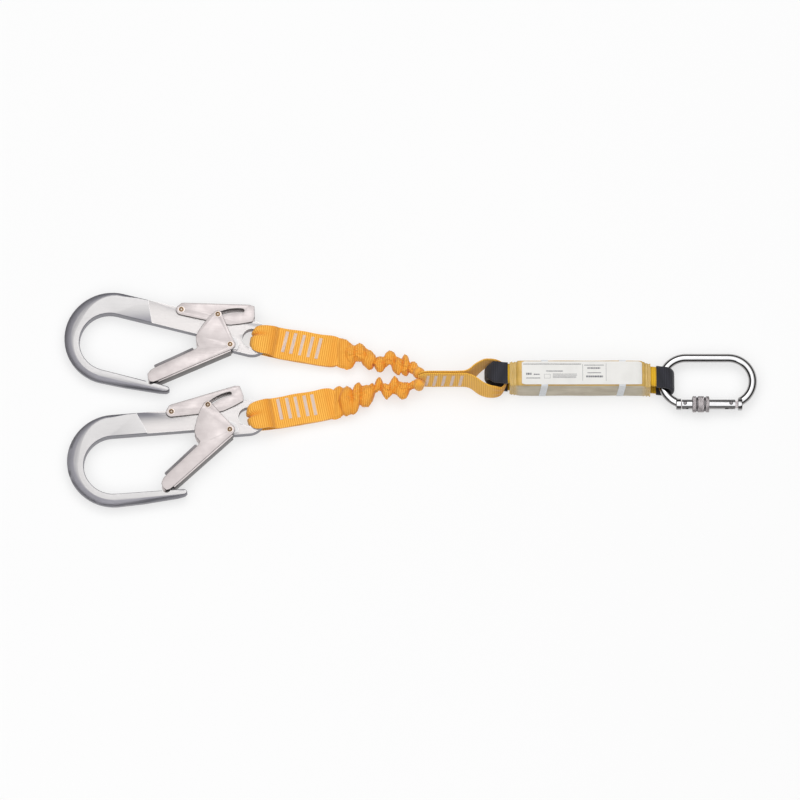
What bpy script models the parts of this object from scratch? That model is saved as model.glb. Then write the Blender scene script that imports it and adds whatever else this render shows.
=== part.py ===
"""Twin-leg shock absorbing lanyard: two scaffold hooks, elastic legs, absorber pack, carabiner.

Metres, +Z up, +X from the hooks towards the carabiner. The origin is the middle of the
absorber pack's underside. Every outline below is written in millimetres and scaled by MM.
"""

import math

import bmesh
import bpy
from mathutils import Matrix, Vector

MM = 0.001
GAP = 0.3  # clearance between pieces that touch, mm

# Absorber pack, mm
PACK_HALF_LENGTH = 71.5
PACK_WIDTH = 28.8
PLY = 2.0
PLY_PITCH = 2.6
PLY_LEVELS = 10
FILM = 0.5
PACK_LEAN = 0.146  # sideways shift of the folded stack per unit of height
PACK_HEIGHT = 2 * FILM + 0.7 + PLY + (PLY_LEVELS - 1) * PLY_PITCH

# Loops at the pack's ends, mm
LOOP_RADIUS = 9.6  # middle of the webbing round the bight
LOOP_WIDTH = 22.0
SLEEVE_WALL = 0.8
LOOP_LEFT_X = -93.5
LOOP_RIGHT_X = 92.3
LOOP_Z = FILM + 0.35 + PLY / 2 + LOOP_RADIUS
LOOP_SWERVE = 0.10  # sideways drift of each loop per unit of length outside the pack

# Carabiner, mm
ROD_RADIUS = 4.7
OVAL_X = 140.2
OVAL_Y = -0.8
OVAL_HALF_LENGTH = 50.0
OVAL_HALF_HEIGHT = 26.6
GATE_RADIUS = 5.4
GATE_LEFT_X = 112.0
GATE_RIGHT_X = 170.5
GATE_HINGE_X = 166.0
LATCH_PIN_X = 115.4
NOSE_RADIUS = 6.3
SLEEVE_X = 123.3
SLEEVE_BORE = 7.2
SLEEVE_GROOVE = 7.85
PLUNGER_X = 148.0

# Scaffold hooks, mm, in the hook's own frame with the gate pivot at the origin
HOOK_HALF = 6.0
SLOPE_LEVELS = (0.0, 0.35, 0.7, 1.0)  # shares of the way from the flat face to the edge
SLOPE_POWER = 1.7  # how late the rounded slope turns down
MILLED_HALF = 5.25
LEVER_INNER, LEVER_OUTER = 5.6, 7.1
GATE_INNER, GATE_OUTER = 7.4, 8.9
LEVER_PIVOT = (-62.5, 26.0)
LOCK_PIN = (-22.0, 30.2)
EYE_CENTRE = (21.0, 14.0)
EYE_RADIUS = 10.7
RIM_X = 36.0
LEVER_RATIO = 0.09
HOOK_Z = 9.6
HOOKS = {
    "a": {"x": -385.0, "y": 39.7, "turn": math.radians(-14.4)},
    "b": {"x": -384.8, "y": -58.2, "turn": math.radians(4.6)},
}

# Legs and stem, mm
STEM_Y = 0.6
STEM_LEFT_X, STEM_RIGHT_X = -176.0, -125.0
STEM_HALF_HEIGHT = 16.0
EYE_BIGHT_X, EYE_BIGHT_Y = -80.8, 5.5
STEM_LEAN = 0.17
CORE_RADIUS = 2.8

COLOURS = {
    "aluminium": ((0.62, 0.62, 0.64), 0.35, 1.0),
    "steel": ((0.58, 0.56, 0.56), 0.35, 1.0),
    "copper": ((0.55, 0.40, 0.26), 0.3, 1.0),
    "polished": ((0.7, 0.7, 0.7), 0.12, 1.0),
    "spring": ((0.4, 0.4, 0.42), 0.35, 1.0),
    "orange_webbing": ((0.85, 0.42, 0.08), 0.85, 0.0),
    "gold_webbing": ((0.80, 0.50, 0.03), 0.8, 0.0),
    "black_sleeve": ((0.02, 0.02, 0.025), 0.8, 0.0),
    "core_rubber": ((0.8, 0.78, 0.7), 0.7, 0.0),
    "film": ((0.75, 0.65, 0.45), 0.2, 0.0),
    "tape": ((0.85, 0.86, 0.88), 0.3, 0.0),
    "label_paper": ((0.9, 0.9, 0.9), 0.5, 0.0),
}


def clear_scene():
    for thing in list(bpy.data.objects):
        bpy.data.objects.remove(thing, do_unlink=True)


def new_collection(name):
    group = bpy.data.collections.new(name)
    bpy.context.scene.collection.children.link(group)
    return group


def material(name):
    found = bpy.data.materials.get(name)
    if found:
        return found
    colour, roughness, metallic = COLOURS[name]
    made = bpy.data.materials.new(name)
    made.use_nodes = True
    shader = made.node_tree.nodes["Principled BSDF"]
    shader.inputs["Base Color"].default_value = (*colour, 1.0)
    shader.inputs["Roughness"].default_value = roughness
    shader.inputs["Metallic"].default_value = metallic
    return made


def add_object(name, mesh, finish, parent=None):
    piece = bpy.data.objects.new(name, mesh)
    PARTS.objects.link(piece)
    mesh.materials.clear()
    mesh.materials.append(material(finish))
    piece.parent = parent
    return piece


def smooth(piece, angle=35):
    piece.data.shade_smooth()
    piece.data.set_sharp_from_angle(angle=math.radians(angle))


def mesh_of(curve_object):
    """The curve as a welded mesh; the curve object is removed."""
    bpy.context.view_layer.update()
    seen = curve_object.evaluated_get(bpy.context.evaluated_depsgraph_get())
    mesh = bpy.data.meshes.new_from_object(seen)
    mesh.transform(curve_object.matrix_world)
    bpy.data.objects.remove(curve_object, do_unlink=True)
    work = bmesh.new()
    work.from_mesh(mesh)
    bmesh.ops.remove_doubles(work, verts=work.verts, dist=1e-6)
    bmesh.ops.recalc_face_normals(work, faces=work.faces)
    work.to_mesh(mesh)
    work.free()
    return mesh


def plate(outlines, z_low, z_high, rounding=0.0):
    """A flat plate from closed outlines in mm; inner outlines become holes."""
    curve = bpy.data.curves.new("outline", "CURVE")
    curve.dimensions = "2D"
    curve.fill_mode = "BOTH"
    curve.extrude = (z_high - z_low) / 2 * MM - rounding * MM
    curve.bevel_depth = rounding * MM
    curve.bevel_resolution = 1
    curve.offset = -rounding * MM
    for outline in outlines:
        spline = curve.splines.new("POLY")
        spline.points.add(len(outline) - 1)
        for point, (x, y) in zip(spline.points, outline):
            point.co = (x * MM, y * MM, 0, 1)
        spline.use_cyclic_u = True
    holder = bpy.data.objects.new("outline", curve)
    holder.location.z = (z_low + z_high) / 2 * MM
    bpy.context.scene.collection.objects.link(holder)
    return mesh_of(holder)


def wire(points, radius, resolution=2, radii=None):
    """A round bar along points in mm."""
    curve = bpy.data.curves.new("wire", "CURVE")
    curve.dimensions = "3D"
    curve.bevel_depth = radius * MM
    curve.bevel_resolution = resolution
    curve.use_fill_caps = True
    spline = curve.splines.new("POLY")
    spline.points.add(len(points) - 1)
    for index, (x, y, z) in enumerate(points):
        spline.points[index].co = (x * MM, y * MM, z * MM, 1)
        spline.points[index].radius = radii[index] if radii else 1.0
    holder = bpy.data.objects.new("wire", curve)
    bpy.context.scene.collection.objects.link(holder)
    return mesh_of(holder)


def cylinder(radius, x, y, z_low, z_high, segments=24):
    """An upright cylinder in mm, as a mesh."""
    mesh = bpy.data.meshes.new("cylinder")
    work = bmesh.new()
    place = Matrix.Translation((x * MM, y * MM, (z_low + z_high) / 2 * MM))
    bmesh.ops.create_cone(work, cap_ends=True, segments=segments, radius1=radius * MM,
                          radius2=radius * MM, depth=(z_high - z_low) * MM, matrix=place)
    work.to_mesh(mesh)
    work.free()
    return mesh


def block(low, high):
    """An upright box between two corners in mm, as a mesh."""
    mesh = bpy.data.meshes.new("block")
    work = bmesh.new()
    middle = [(a + b) / 2 * MM for a, b in zip(low, high)]
    size = [(b - a) * MM for a, b in zip(low, high)]
    place = Matrix.Translation(middle) @ Matrix.Diagonal((*size, 1.0))
    bmesh.ops.create_cube(work, size=1.0, matrix=place)
    work.to_mesh(mesh)
    work.free()
    return mesh


def turned(profile, segments=28):
    """A turned shape about local Z; the profile is (radius, height) in mm, top to bottom outside."""
    mesh = bpy.data.meshes.new("profile")
    work = bmesh.new()
    corners = [work.verts.new((radius * MM, 0, height * MM)) for radius, height in profile]
    for first, second in zip(corners, corners[1:] + corners[:1]):
        work.edges.new((first, second))
    work.to_mesh(mesh)
    work.free()
    holder = bpy.data.objects.new("profile", mesh)
    bpy.context.scene.collection.objects.link(holder)
    screw = holder.modifiers.new("turn", "SCREW")
    screw.steps = segments
    screw.render_steps = segments
    screw.use_merge_vertices = True
    screw.merge_threshold = 1e-6
    return mesh_of(holder)


def cut(piece, cutters, operation="DIFFERENCE"):
    """Adds a Boolean for each cutter mesh, in the piece's own frame."""
    for index, cutter_mesh in enumerate(cutters):
        cutter = bpy.data.objects.new(f"{piece.name}_cutter_{index}", cutter_mesh)
        CUTTERS.objects.link(cutter)
        cutter.parent = piece
        cutter.hide_render = True
        cutter.display_type = "WIRE"
        modifier = piece.modifiers.new(f"cut_{index}", "BOOLEAN")
        modifier.operation = operation
        modifier.object = cutter
        modifier.solver = "EXACT"


def arc(centre, radius, start, end, steps):
    """Points in mm along an arc, angles in degrees."""
    points = []
    for index in range(steps + 1):
        angle = math.radians(start + (end - start) * index / steps)
        points.append((centre[0] + radius * math.cos(angle), centre[1] + radius * math.sin(angle)))
    return points


def sheet(name, edge_a, edge_b, thickness, finish, parent=None):
    """A strip of webbing between two edge lines in mm, thickened evenly to both sides."""
    mesh = bpy.data.meshes.new(name)
    work = bmesh.new()
    first = [work.verts.new(Vector(point) * MM) for point in edge_a]
    for low, high in zip(first, first[1:]):
        work.edges.new((low, high))
    grown = bmesh.ops.extrude_edge_only(work, edges=work.edges[:])
    second = [item for item in grown["geom"] if isinstance(item, bmesh.types.BMVert)]
    partner = {}
    for edge in work.edges:
        ends = [corner for corner in edge.verts if corner in second]
        if len(ends) == 1:
            partner[edge.other_vert(ends[0])] = ends[0]
    for corner, point in zip(first, edge_b):
        partner[corner].co = Vector(point) * MM
    work.to_mesh(mesh)
    work.free()
    piece = add_object(name, mesh, finish, parent)
    thicken = piece.modifiers.new("thickness", "SOLIDIFY")
    thicken.thickness = thickness * MM
    thicken.offset = 0.0
    thicken.use_even_offset = True
    return piece


def lying_strip(name, path, widths, centres, thickness, finish, parent=None):
    """Webbing whose path lies in X-Z and whose width runs along Y."""
    near = [(x, c - w, z) for (x, z), w, c in zip(path, widths, centres)]
    far = [(x, c + w, z) for (x, z), w, c in zip(path, widths, centres)]
    return sheet(name, near, far, thickness, finish, parent)


def apply_modifiers(piece):
    """Bakes the modifiers, so that the mesh can be bent afterwards."""
    bpy.context.view_layer.update()
    seen = piece.evaluated_get(bpy.context.evaluated_depsgraph_get())
    mesh = bpy.data.meshes.new_from_object(seen)
    piece.modifiers.clear()
    piece.data = mesh


def move_origin(piece, x, y, z):
    """Puts the piece's origin on its joint's axis, in mm; the shape stays where it is."""
    apply_modifiers(piece)
    strip_cutters(piece)
    piece.data.transform(Matrix.Translation((-x * MM, -y * MM, -z * MM)))
    piece.location = (x * MM, y * MM, z * MM)


def strip_cutters(piece):
    for cutter in [item for item in CUTTERS.objects if item.parent == piece]:
        bpy.data.objects.remove(cutter, do_unlink=True)


def lean_with_pack(piece):
    """Shears the pack's pieces sideways, and lets the loops outside it drift further."""
    apply_modifiers(piece)
    for corner in piece.data.vertices:
        x, z = corner.co.x / MM, corner.co.z / MM
        outside = max(0.0, abs(x) - PACK_HALF_LENGTH + 6.0)
        drift = -math.copysign(LOOP_SWERVE, x) * outside
        corner.co.y += (PACK_LEAN * z + drift) * MM


def stack_height(level):
    return FILM + 0.35 + PLY / 2 + level * PLY_PITCH


def tear_webbing():
    """The folded stack: plies joined by half-round bends at alternating ends."""
    reach = 58.0
    path = [(-reach, stack_height(1))]
    for level in range(1, PLY_LEVELS - 2):
        side = 1 if level % 2 else -1
        middle = (stack_height(level) + stack_height(level + 1)) / 2
        for x, y in arc((0, 0), PLY_PITCH / 2, -90, 90, 6):
            path.append((side * (reach + x), middle + y))
    last_side = -1 if (PLY_LEVELS - 2) % 2 else 1
    path.append((-last_side * reach * 0.98, stack_height(PLY_LEVELS - 2)))
    count = len(path)
    stack = lying_strip("tear_webbing", path, [12.6] * count, [0.0] * count, PLY - 0.2,
                        "gold_webbing")
    lean_with_pack(stack)


def loop_path(side, centre_x):
    """A loop's middle line in X-Z, from the pack's top ply round the bight to its bottom ply."""
    top, bottom = stack_height(PLY_LEVELS - 1), stack_height(0)
    high = bottom + 2 * LOOP_RADIUS
    bend_start, bend_end = 62.0, 73.0
    path = [(side * 6.0, top)]
    for step in range(9):
        share = step / 8
        ease = share * share * (3 - 2 * share)
        path.append((side * (bend_start + share * (bend_end - bend_start)),
                     top + ease * (high - top)))
    bight = arc((abs(centre_x), LOOP_Z), LOOP_RADIUS, 90, -90, 16)
    path += [(side * x, z) for x, z in bight]
    path += [(side * (PACK_HALF_LENGTH - 6.0), bottom), (side * 6.0, bottom)]
    return path


def end_loop(side_name, side, centre_x, centre_y):
    path = loop_path(side, centre_x)
    count = len(path)
    loop = lying_strip(f"{side_name}_loop_webbing", path, [LOOP_WIDTH / 2] * count,
                       [centre_y] * count, PLY, "gold_webbing")
    lean_with_pack(loop)


def loop_sleeve(side_name, side, centre_x, centre_y, mouth_x):
    """A black tubular sleeve round the bight: a thick U with a U-shaped channel through it."""
    bight = arc((abs(centre_x), LOOP_Z), LOOP_RADIUS, 90, -90, 16)
    path = [(mouth_x, bight[0][1])] + bight + [(mouth_x, bight[-1][1])]
    path = [(side * x, z) for x, z in path]
    count = len(path)
    outer = PLY + 2 * (GAP + SLEEVE_WALL)
    sleeve = lying_strip(f"{side_name}_loop_sleeve", path, [LOOP_WIDTH / 2 + 0.8] * count,
                         [centre_y] * count, outer, "black_sleeve")
    apply_modifiers(sleeve)
    longer = [(path[0][0] - side * 3, path[0][1])] + path + [(path[-1][0] - side * 3, path[-1][1])]
    channel = lying_strip("channel", longer, [LOOP_WIDTH / 2 + GAP] * (count + 2),
                          [centre_y] * (count + 2), PLY + 2 * GAP, "black_sleeve")
    apply_modifiers(channel)
    channel_mesh = channel.data
    bpy.data.objects.remove(channel, do_unlink=True)
    cut(sleeve, [channel_mesh])
    lean_with_pack(sleeve)
    strip_cutters(sleeve)


def rounded_ring(half_y, z_low, z_high, corner, steps=3):
    """A rounded rectangle in Y-Z, as points in mm."""
    ring = []
    corners = ((1, z_high, 0), (-1, z_high, 90), (-1, z_low, 180), (1, z_low, 270))
    for sign, z_edge, start in corners:
        centre_z = z_edge - corner if z_edge == z_high else z_edge + corner
        ring += arc((sign * (half_y - corner), centre_z), corner, start, start + 90, steps)
    return ring


def tube_through(name, sections, thickness, finish):
    """An open-ended tube through rounded rings; each section is (x, ring)."""
    mesh = bpy.data.meshes.new(name)
    work = bmesh.new()
    x, ring = sections[0]
    current = [work.verts.new(Vector((x, y, z)) * MM) for y, z in ring]
    edges = []
    for first, second in zip(current, current[1:] + current[:1]):
        edges.append(work.edges.new((first, second)))
    for x, ring in sections[1:]:
        grown = bmesh.ops.extrude_edge_only(work, edges=edges)
        made = [item for item in grown["geom"] if isinstance(item, bmesh.types.BMVert)]
        edges = [item for item in grown["geom"] if isinstance(item, bmesh.types.BMEdge)
                 and all(corner in made for corner in item.verts)]
        following = []
        for old in current:
            new = next(edge.other_vert(old) for edge in old.link_edges
                       if edge.other_vert(old) in made)
            following.append(new)
        for corner, (y, z) in zip(following, ring):
            corner.co = Vector((x, y, z)) * MM
        current = following
    work.to_mesh(mesh)
    work.free()
    piece = add_object(name, mesh, finish)
    shell = piece.modifiers.new("film", "SOLIDIFY")
    shell.thickness = thickness * MM
    shell.offset = -1.0
    return piece


def clear_cover():
    """Shrunk film round the pack, necked in at both ends."""
    half = PACK_WIDTH / 2
    neck_top = stack_height(0) + 2 * LOOP_RADIUS + PLY / 2 + 1.2
    neck = rounded_ring(half - 0.6, 0.0, neck_top, 1.5)
    full = rounded_ring(half, 0.0, PACK_HEIGHT, 1.5)
    sections = [(-77.0, neck), (-75.0, neck), (-65.0, full), (65.0, full), (74.0, neck),
                (77.0, neck)]
    cover = tube_through("clear_cover", sections, FILM, "film")
    cover.modifiers["film"].offset = 1.0
    lean_with_pack(cover)


def pack_label():
    label = add_object("label", block((-64.5, -12.8, PACK_HEIGHT + GAP),
                                      (65.0, 12.0, PACK_HEIGHT + GAP + 0.3)), "label_paper")
    lean_with_pack(label)


def tape_band(name, x, slant):
    """A strip of tape over the top and down both sides."""
    half = PACK_WIDTH / 2 + GAP + 0.15
    top = PACK_HEIGHT + 2 * GAP + 0.6
    line = [(-half, 2.0), (-half, top), (half, top), (half, 2.0)]
    near = [(x - 3.6 + slant * (z - top), y, z) for y, z in line]
    far = [(x + 3.6 + slant * (z - top), y, z) for y, z in line]
    band = sheet(name, near, far, 0.3, "tape")
    lean_with_pack(band)


def absorber_pack():
    tear_webbing()
    end_loop("left", -1, LOOP_LEFT_X, 1.0)
    end_loop("right", 1, LOOP_RIGHT_X, 0.3)
    loop_sleeve("left", -1, LOOP_LEFT_X, 1.0, 79.5)
    loop_sleeve("right", 1, LOOP_RIGHT_X, 0.3, 83.8)
    clear_cover()
    pack_label()
    tape_band("band_left", -39.0, 0.1)
    tape_band("band_right", 46.5, 0.1)


def carabiner_body():
    """An oval of round bar with a nose lug and a hinge lug on the gate side."""
    gate_y = OVAL_Y - OVAL_HALF_HEIGHT
    left = (OVAL_X - OVAL_HALF_LENGTH + OVAL_HALF_HEIGHT, OVAL_Y)
    right = (OVAL_X + OVAL_HALF_LENGTH - OVAL_HALF_HEIGHT, OVAL_Y)
    line = arc(left, OVAL_HALF_HEIGHT, 248.4, 90, 20)
    line += arc(right, OVAL_HALF_HEIGHT, 90, -62.2, 20)
    points = [(x, y, LOOP_Z) for x, y in line]
    body = add_object("carabiner_body", wire(points, ROD_RADIUS, resolution=3), "polished")
    nose = axial_cylinder(NOSE_RADIUS, 105.5, 111.2, gate_y)
    hinge_lug = axial_cylinder(6.8, 173.4, 178.4, gate_y)
    tongue_left = block((109.0, gate_y - 4.2, LOOP_Z - 1.7), (118.0, gate_y + 4.2, LOOP_Z + 1.7))
    tongue_right = block((162.0, gate_y - 4.2, LOOP_Z - 1.7), (175.0, gate_y + 4.2, LOOP_Z + 1.7))
    cut(body, [nose, hinge_lug, tongue_left, tongue_right], "UNION")
    notch = block((LATCH_PIN_X - 1.4, gate_y - 1.6, LOOP_Z - 6),
                  (LATCH_PIN_X + 1.4, gate_y + 9, LOOP_Z + 6))
    bore = cylinder(1.4, GATE_HINGE_X, gate_y, LOOP_Z - 6, LOOP_Z + 6, 16)
    apply_modifiers(body)
    strip_cutters(body)
    cut(body, [notch, bore])
    move_origin(body, LOOP_RIGHT_X, OVAL_Y, LOOP_Z)
    smooth(body)
    return gate_y


def axial_cylinder(radius, x_low, x_high, y, segments=28):
    """A cylinder along X in mm at the carabiner's height, as a mesh."""
    mesh = cylinder(radius, 0, 0, x_low, x_high, segments)
    along_x = Matrix.Rotation(math.pi / 2, 4, "Y")
    mesh.transform(Matrix.Translation((0, y * MM, LOOP_Z * MM)) @ along_x)
    return mesh


def carabiner_gate(gate_y):
    tube = axial_cylinder(GATE_RADIUS, GATE_LEFT_X, GATE_RIGHT_X, gate_y)
    gate = add_object("carabiner_gate", tube, "polished")
    bore = axial_cylinder(2.7, GATE_LEFT_X - 2, GATE_RIGHT_X + 2, gate_y, 16)
    slot_left = block((GATE_LEFT_X - 2, gate_y - 9, LOOP_Z - 2.1),
                      (119.0, gate_y + 9, LOOP_Z + 2.1))
    slot_right = block((159.4, gate_y - 9, LOOP_Z - 2.1),
                       (GATE_RIGHT_X + 2, gate_y + 9, LOOP_Z + 2.1))
    hole_left = cylinder(1.3, LATCH_PIN_X, gate_y, LOOP_Z - 8, LOOP_Z + 8, 16)
    hole_right = cylinder(1.4, GATE_HINGE_X, gate_y, LOOP_Z - 8, LOOP_Z + 8, 16)
    cut(gate, [bore, slot_left, slot_right, hole_left, hole_right])
    move_origin(gate, GATE_HINGE_X, gate_y, LOOP_Z)
    smooth(gate)
    for name, x in (("carabiner_latch_pin", LATCH_PIN_X), ("carabiner_hinge_pin", GATE_HINGE_X)):
        pin = add_object(name, cylinder(1.0, x, gate_y, LOOP_Z - 5.5, LOOP_Z + 5.5, 16), "steel")
        smooth(pin)


def carabiner_sleeve(gate_y):
    """The locking sleeve: three raised rings, a deep front bore and a threaded rear bore."""
    front, rear = 0.0, 18.7
    rings = ((0.0, 4.4), (6.0, 12.9), (14.8, 18.7))
    profile = []
    for start, end in rings:
        profile += [(SLEEVE_GROOVE, start), (8.85, start + 0.4), (8.85, end - 0.4),
                    (SLEEVE_GROOVE, end)]
    profile = [(radius, -along) for radius, along in profile]
    profile += [(5.75, -rear), (5.75, -13.6), (SLEEVE_BORE, -13.0),
                (SLEEVE_BORE, -front)]
    mesh = turned(profile)
    along_gate = Matrix.Rotation(-math.pi / 2, 4, "Y")
    mesh.transform(Matrix.Translation((SLEEVE_X * MM, gate_y * MM, LOOP_Z * MM)) @ along_gate)
    sleeve = add_object("carabiner_sleeve", mesh, "steel")
    move_origin(sleeve, SLEEVE_X, gate_y, LOOP_Z)
    smooth(sleeve)


def coil(radius, turns, length, steps):
    """Points of a helix along X, starting at the origin."""
    points = []
    for index in range(turns * steps + 1):
        angle = 2 * math.pi * index / steps
        points.append((length * index / (turns * steps), radius * math.cos(angle),
                       radius * math.sin(angle)))
    return points


def carabiner_inside(gate_y):
    """The plunger that presses on the hinge tongue, and its spring."""
    rod = axial_cylinder(2.3, PLUNGER_X, 158.4, gate_y, 16)
    plunger = add_object("carabiner_plunger", rod, "steel")
    move_origin(plunger, PLUNGER_X, gate_y, LOOP_Z)
    smooth(plunger)
    helix = [(128.0 + x, gate_y + y, LOOP_Z + z) for x, y, z in coil(1.8, 7, 18.2, 8)]
    add_object("carabiner_spring", wire(helix, 0.35, 1), "spring")


def carabiner():
    gate_y = carabiner_body()
    carabiner_gate(gate_y)
    carabiner_sleeve(gate_y)
    carabiner_inside(gate_y)


def turn_point(point, angle, centre=(0.0, 0.0)):
    x, y = point[0] - centre[0], point[1] - centre[1]
    return (centre[0] + x * math.cos(angle) - y * math.sin(angle),
            centre[1] + x * math.sin(angle) + y * math.cos(angle))


def hook_rim():
    """Paired points round the hook: outer edge, edge of the flat face, and the outer edge's height."""
    square, thin = HOOK_HALF - 0.7, 2.4
    inner_centre, outer_centre, ridge_centre = (-130, -29.5), (-129, -24), (-130, -30)
    rim = [((-56, -63.0), (-56, -63.7), square)]
    inner_edge = arc(inner_centre, 33.0, 270, 90, 22)
    inner_flat = arc(inner_centre, 33.7, 270, 90, 22)
    rim += [(edge, flat, square) for edge, flat in zip(inner_edge, inner_flat)]
    rim += [((-88, 3.5), (-88, 4.2), square), ((-9.2, 3.5), (-9.2, 4.2), square)]
    rim += [((-9.4, -1.5), (-8.7, -1.5), square), ((-7.0, -4.0), (-6.7, -3.3), square)]
    rim += [((0.5, -4.0), (0.5, -3.3), square), ((5.5, -5.3), (5.5, -4.6), square)]
    eye_edge = arc(EYE_CENTRE, 19.3, 270, 450, 22)
    eye_flat = arc(EYE_CENTRE, 18.6, 270, 450, 22)
    rim += [(edge, flat, square) for edge, flat in zip(eye_edge, eye_flat)]
    rim += [((10, 30.5), (10, 29.8), square), ((0, 28), (0, 27.3), square)]
    rim += [((-98.5, 28), (-98.5, 27.3), square), ((-112, 28), (-112, 26.9), square - 0.3)]
    for step, edge in enumerate(arc(outer_centre, 52.0, 90, 270, 30)):
        angle = 90 + 6 * step
        share = min((angle - 90) / 75.0, 1.0)
        share = share * share * (3 - 2 * share)
        flat = arc(ridge_centre, 54.6 - 15.2 * share, angle, angle, 1)[0]
        rim.append((edge, flat, square - 0.5 - (square - 0.5 - thin) * share))
    rim += [((-100, -74.8), (-100, -69.3), thin), ((-62, -71.4), (-62, -68.9), thin)]
    rim += [((-54.5, -69.6), (-54.5, -68.4), thin + 1), ((-51.8, -67.4), (-52.8, -66.9), thin + 1)]
    rim += [((-51.9, -65.2), (-52.8, -65.4), thin + 1), ((-53.4, -63.5), (-53.8, -64.2), square)]
    return rim


def hook_body_mesh():
    """The forging as a stack of rings, rounded towards the edge and filled at both faces."""
    rim = hook_rim()
    mesh = bpy.data.meshes.new("hook_body")
    work = bmesh.new()
    rings = []
    levels = [(-1, share) for share in SLOPE_LEVELS]
    levels += [(1, share) for share in reversed(SLOPE_LEVELS)]
    for sign, share in levels:
        ring = []
        for edge, flat, height in rim:
            x = flat[0] + (edge[0] - flat[0]) * share
            y = flat[1] + (edge[1] - flat[1]) * share
            z = sign * (HOOK_HALF - (HOOK_HALF - height) * share ** SLOPE_POWER)
            ring.append(work.verts.new((x * MM, y * MM, z * MM)))
        rings.append(ring)
    count = len(rim)
    for lower, upper in zip(rings, rings[1:]):
        for index in range(count):
            after = (index + 1) % count
            work.faces.new((lower[index], lower[after], upper[after], upper[index]))
    work.faces.new(rings[0])
    work.faces.new(rings[-1])
    work.normal_update()
    bmesh.ops.triangulate(work, faces=[face for face in work.faces if len(face.verts) > 4])
    bmesh.ops.recalc_face_normals(work, faces=work.faces)
    work.to_mesh(mesh)
    work.free()
    return mesh


def hook_body(tag, frame):
    body = add_object(f"hook_{tag}_body", hook_body_mesh(), "aluminium", frame)
    milled = [(-102.3, 31), (-90.1, 3.0), (-90.1, -20), (60, -20), (60, 50), (-102.3, 50)]
    cut(body, [plate([milled], MILLED_HALF, 12), plate([milled], -12, -MILLED_HALF)])
    apply_modifiers(body)
    strip_cutters(body)
    boss = plate([arc((0, 0), 9.5, -24.5, 204.5, 22)], -LEVER_OUTER, LEVER_OUTER)
    ear = cylinder(5.4, *LEVER_PIVOT, -MILLED_HALF + 0.02, MILLED_HALF - 0.02, 28)
    cut(body, [boss, ear], "UNION")
    apply_modifiers(body)
    strip_cutters(body)
    eye = cylinder(EYE_RADIUS, *EYE_CENTRE, -9, 9, 40)
    gate_bore = cylinder(2.1, 0, 0, -9, 9, 20)
    lever_bore = cylinder(2.1, *LEVER_PIVOT, -9, 9, 20)
    gate_pocket = cylinder(5.0, 0, 0, -2.6, 2.6, 20)
    lever_pocket = cylinder(4.6, *LEVER_PIVOT, -2.6, 2.6, 20)
    seat = cylinder(5.0, -74.5, -61.0, -9, 9, 24)
    cut(body, [eye, gate_bore, lever_bore, gate_pocket, lever_pocket, seat])
    smooth(body, 25)


def gate_cheek():
    cheek = arc((-22, 29.5), 5.0, 20, 160, 8)
    cheek += [(-31, 25), (-35, 15), (-38, 6), (-39, 0), (-37.5, -5.5), (-33.5, -11.0), (-36, -15)]
    cheek += [(-72, -45), (-77, -50), (-79.4, -55.5), (-77.5, -61), (-74.5, -63.5), (-71, -63)]
    cheek += [(-67, -60.5), (3.4, -4.8)]
    cheek += arc((0, 0), 5.6, -20, 30, 4)
    cheek += [(0, 8.5), (-9.5, 20.5)]
    return cheek


def strip_beside(start, end, inside, outside):
    """A four-cornered strip along a line; outside lies to the right of start-to-end."""
    along = Vector(end) - Vector(start)
    normal = Vector((along.y, -along.x)).normalized()
    corners = [Vector(start) - inside * normal, Vector(end) - inside * normal,
               Vector(end) + outside * normal, Vector(start) + outside * normal]
    return [tuple(corner) for corner in corners]


def hook_gate(tag, frame):
    """Folded steel: two cheeks, a web along the outer edge, and a flange along the inner edge."""
    gate = add_object(f"hook_{tag}_gate", plate([gate_cheek()], -GATE_OUTER, GATE_OUTER, 0.45),
                      "steel", frame)
    web_line = ((-66.2, -59.9), (2.0, -5.95))
    web = strip_beside(*web_line, 1.2, 1.5)
    flange_line = strip_beside((-72.5, -45.4), (-36.5, -15.4), 1.4, 1.0)
    web_mesh = plate([web], -GATE_OUTER + 0.9, GATE_OUTER - 0.9)
    flange_mesh = plate([flange_line], -GATE_OUTER + 0.8, GATE_OUTER - 0.8)
    cut(gate, [web_mesh, flange_mesh], "UNION")
    apply_modifiers(gate)
    strip_cutters(gate)
    channel = [(1.5, -4.9), (6.5, -11.2), (12, -11.2), (12, 45), (-45, 45), (-95, -40),
               (-95, -70), (web_line[0][0] - 0.7, web_line[0][1] + 0.9)]
    holes = [cylinder(2.1, 0, 0, -12, 12, 20), cylinder(1.95, *LOCK_PIN, -12, 12, 20)]
    cut(gate, [plate([channel], -GATE_INNER, GATE_INNER)] + holes)
    smooth(gate, 25)


def slot_outline():
    """The lock pin's path across the lever, widened to the slot."""
    half_width = 2.3
    path = []
    for step in range(13):
        angle = math.radians(42.0) * step / 12
        pin = turn_point(LOCK_PIN, -angle)
        path.append(turn_point(pin, LEVER_RATIO * angle, LEVER_PIVOT))
    upper, lower = [], []
    for index, point in enumerate(path):
        before, after = path[max(index - 1, 0)], path[min(index + 1, 12)]
        along = (Vector(after) - Vector(before)).normalized()
        normal = Vector((-along.y, along.x))
        upper.append(tuple(Vector(point) + half_width * normal))
        lower.append(tuple(Vector(point) - half_width * normal))
    right = arc(path[-1], half_width, 70, -70, 6)
    left = arc(path[0], half_width, 225, 135, 4)
    return upper + right + lower[::-1] + left


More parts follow.
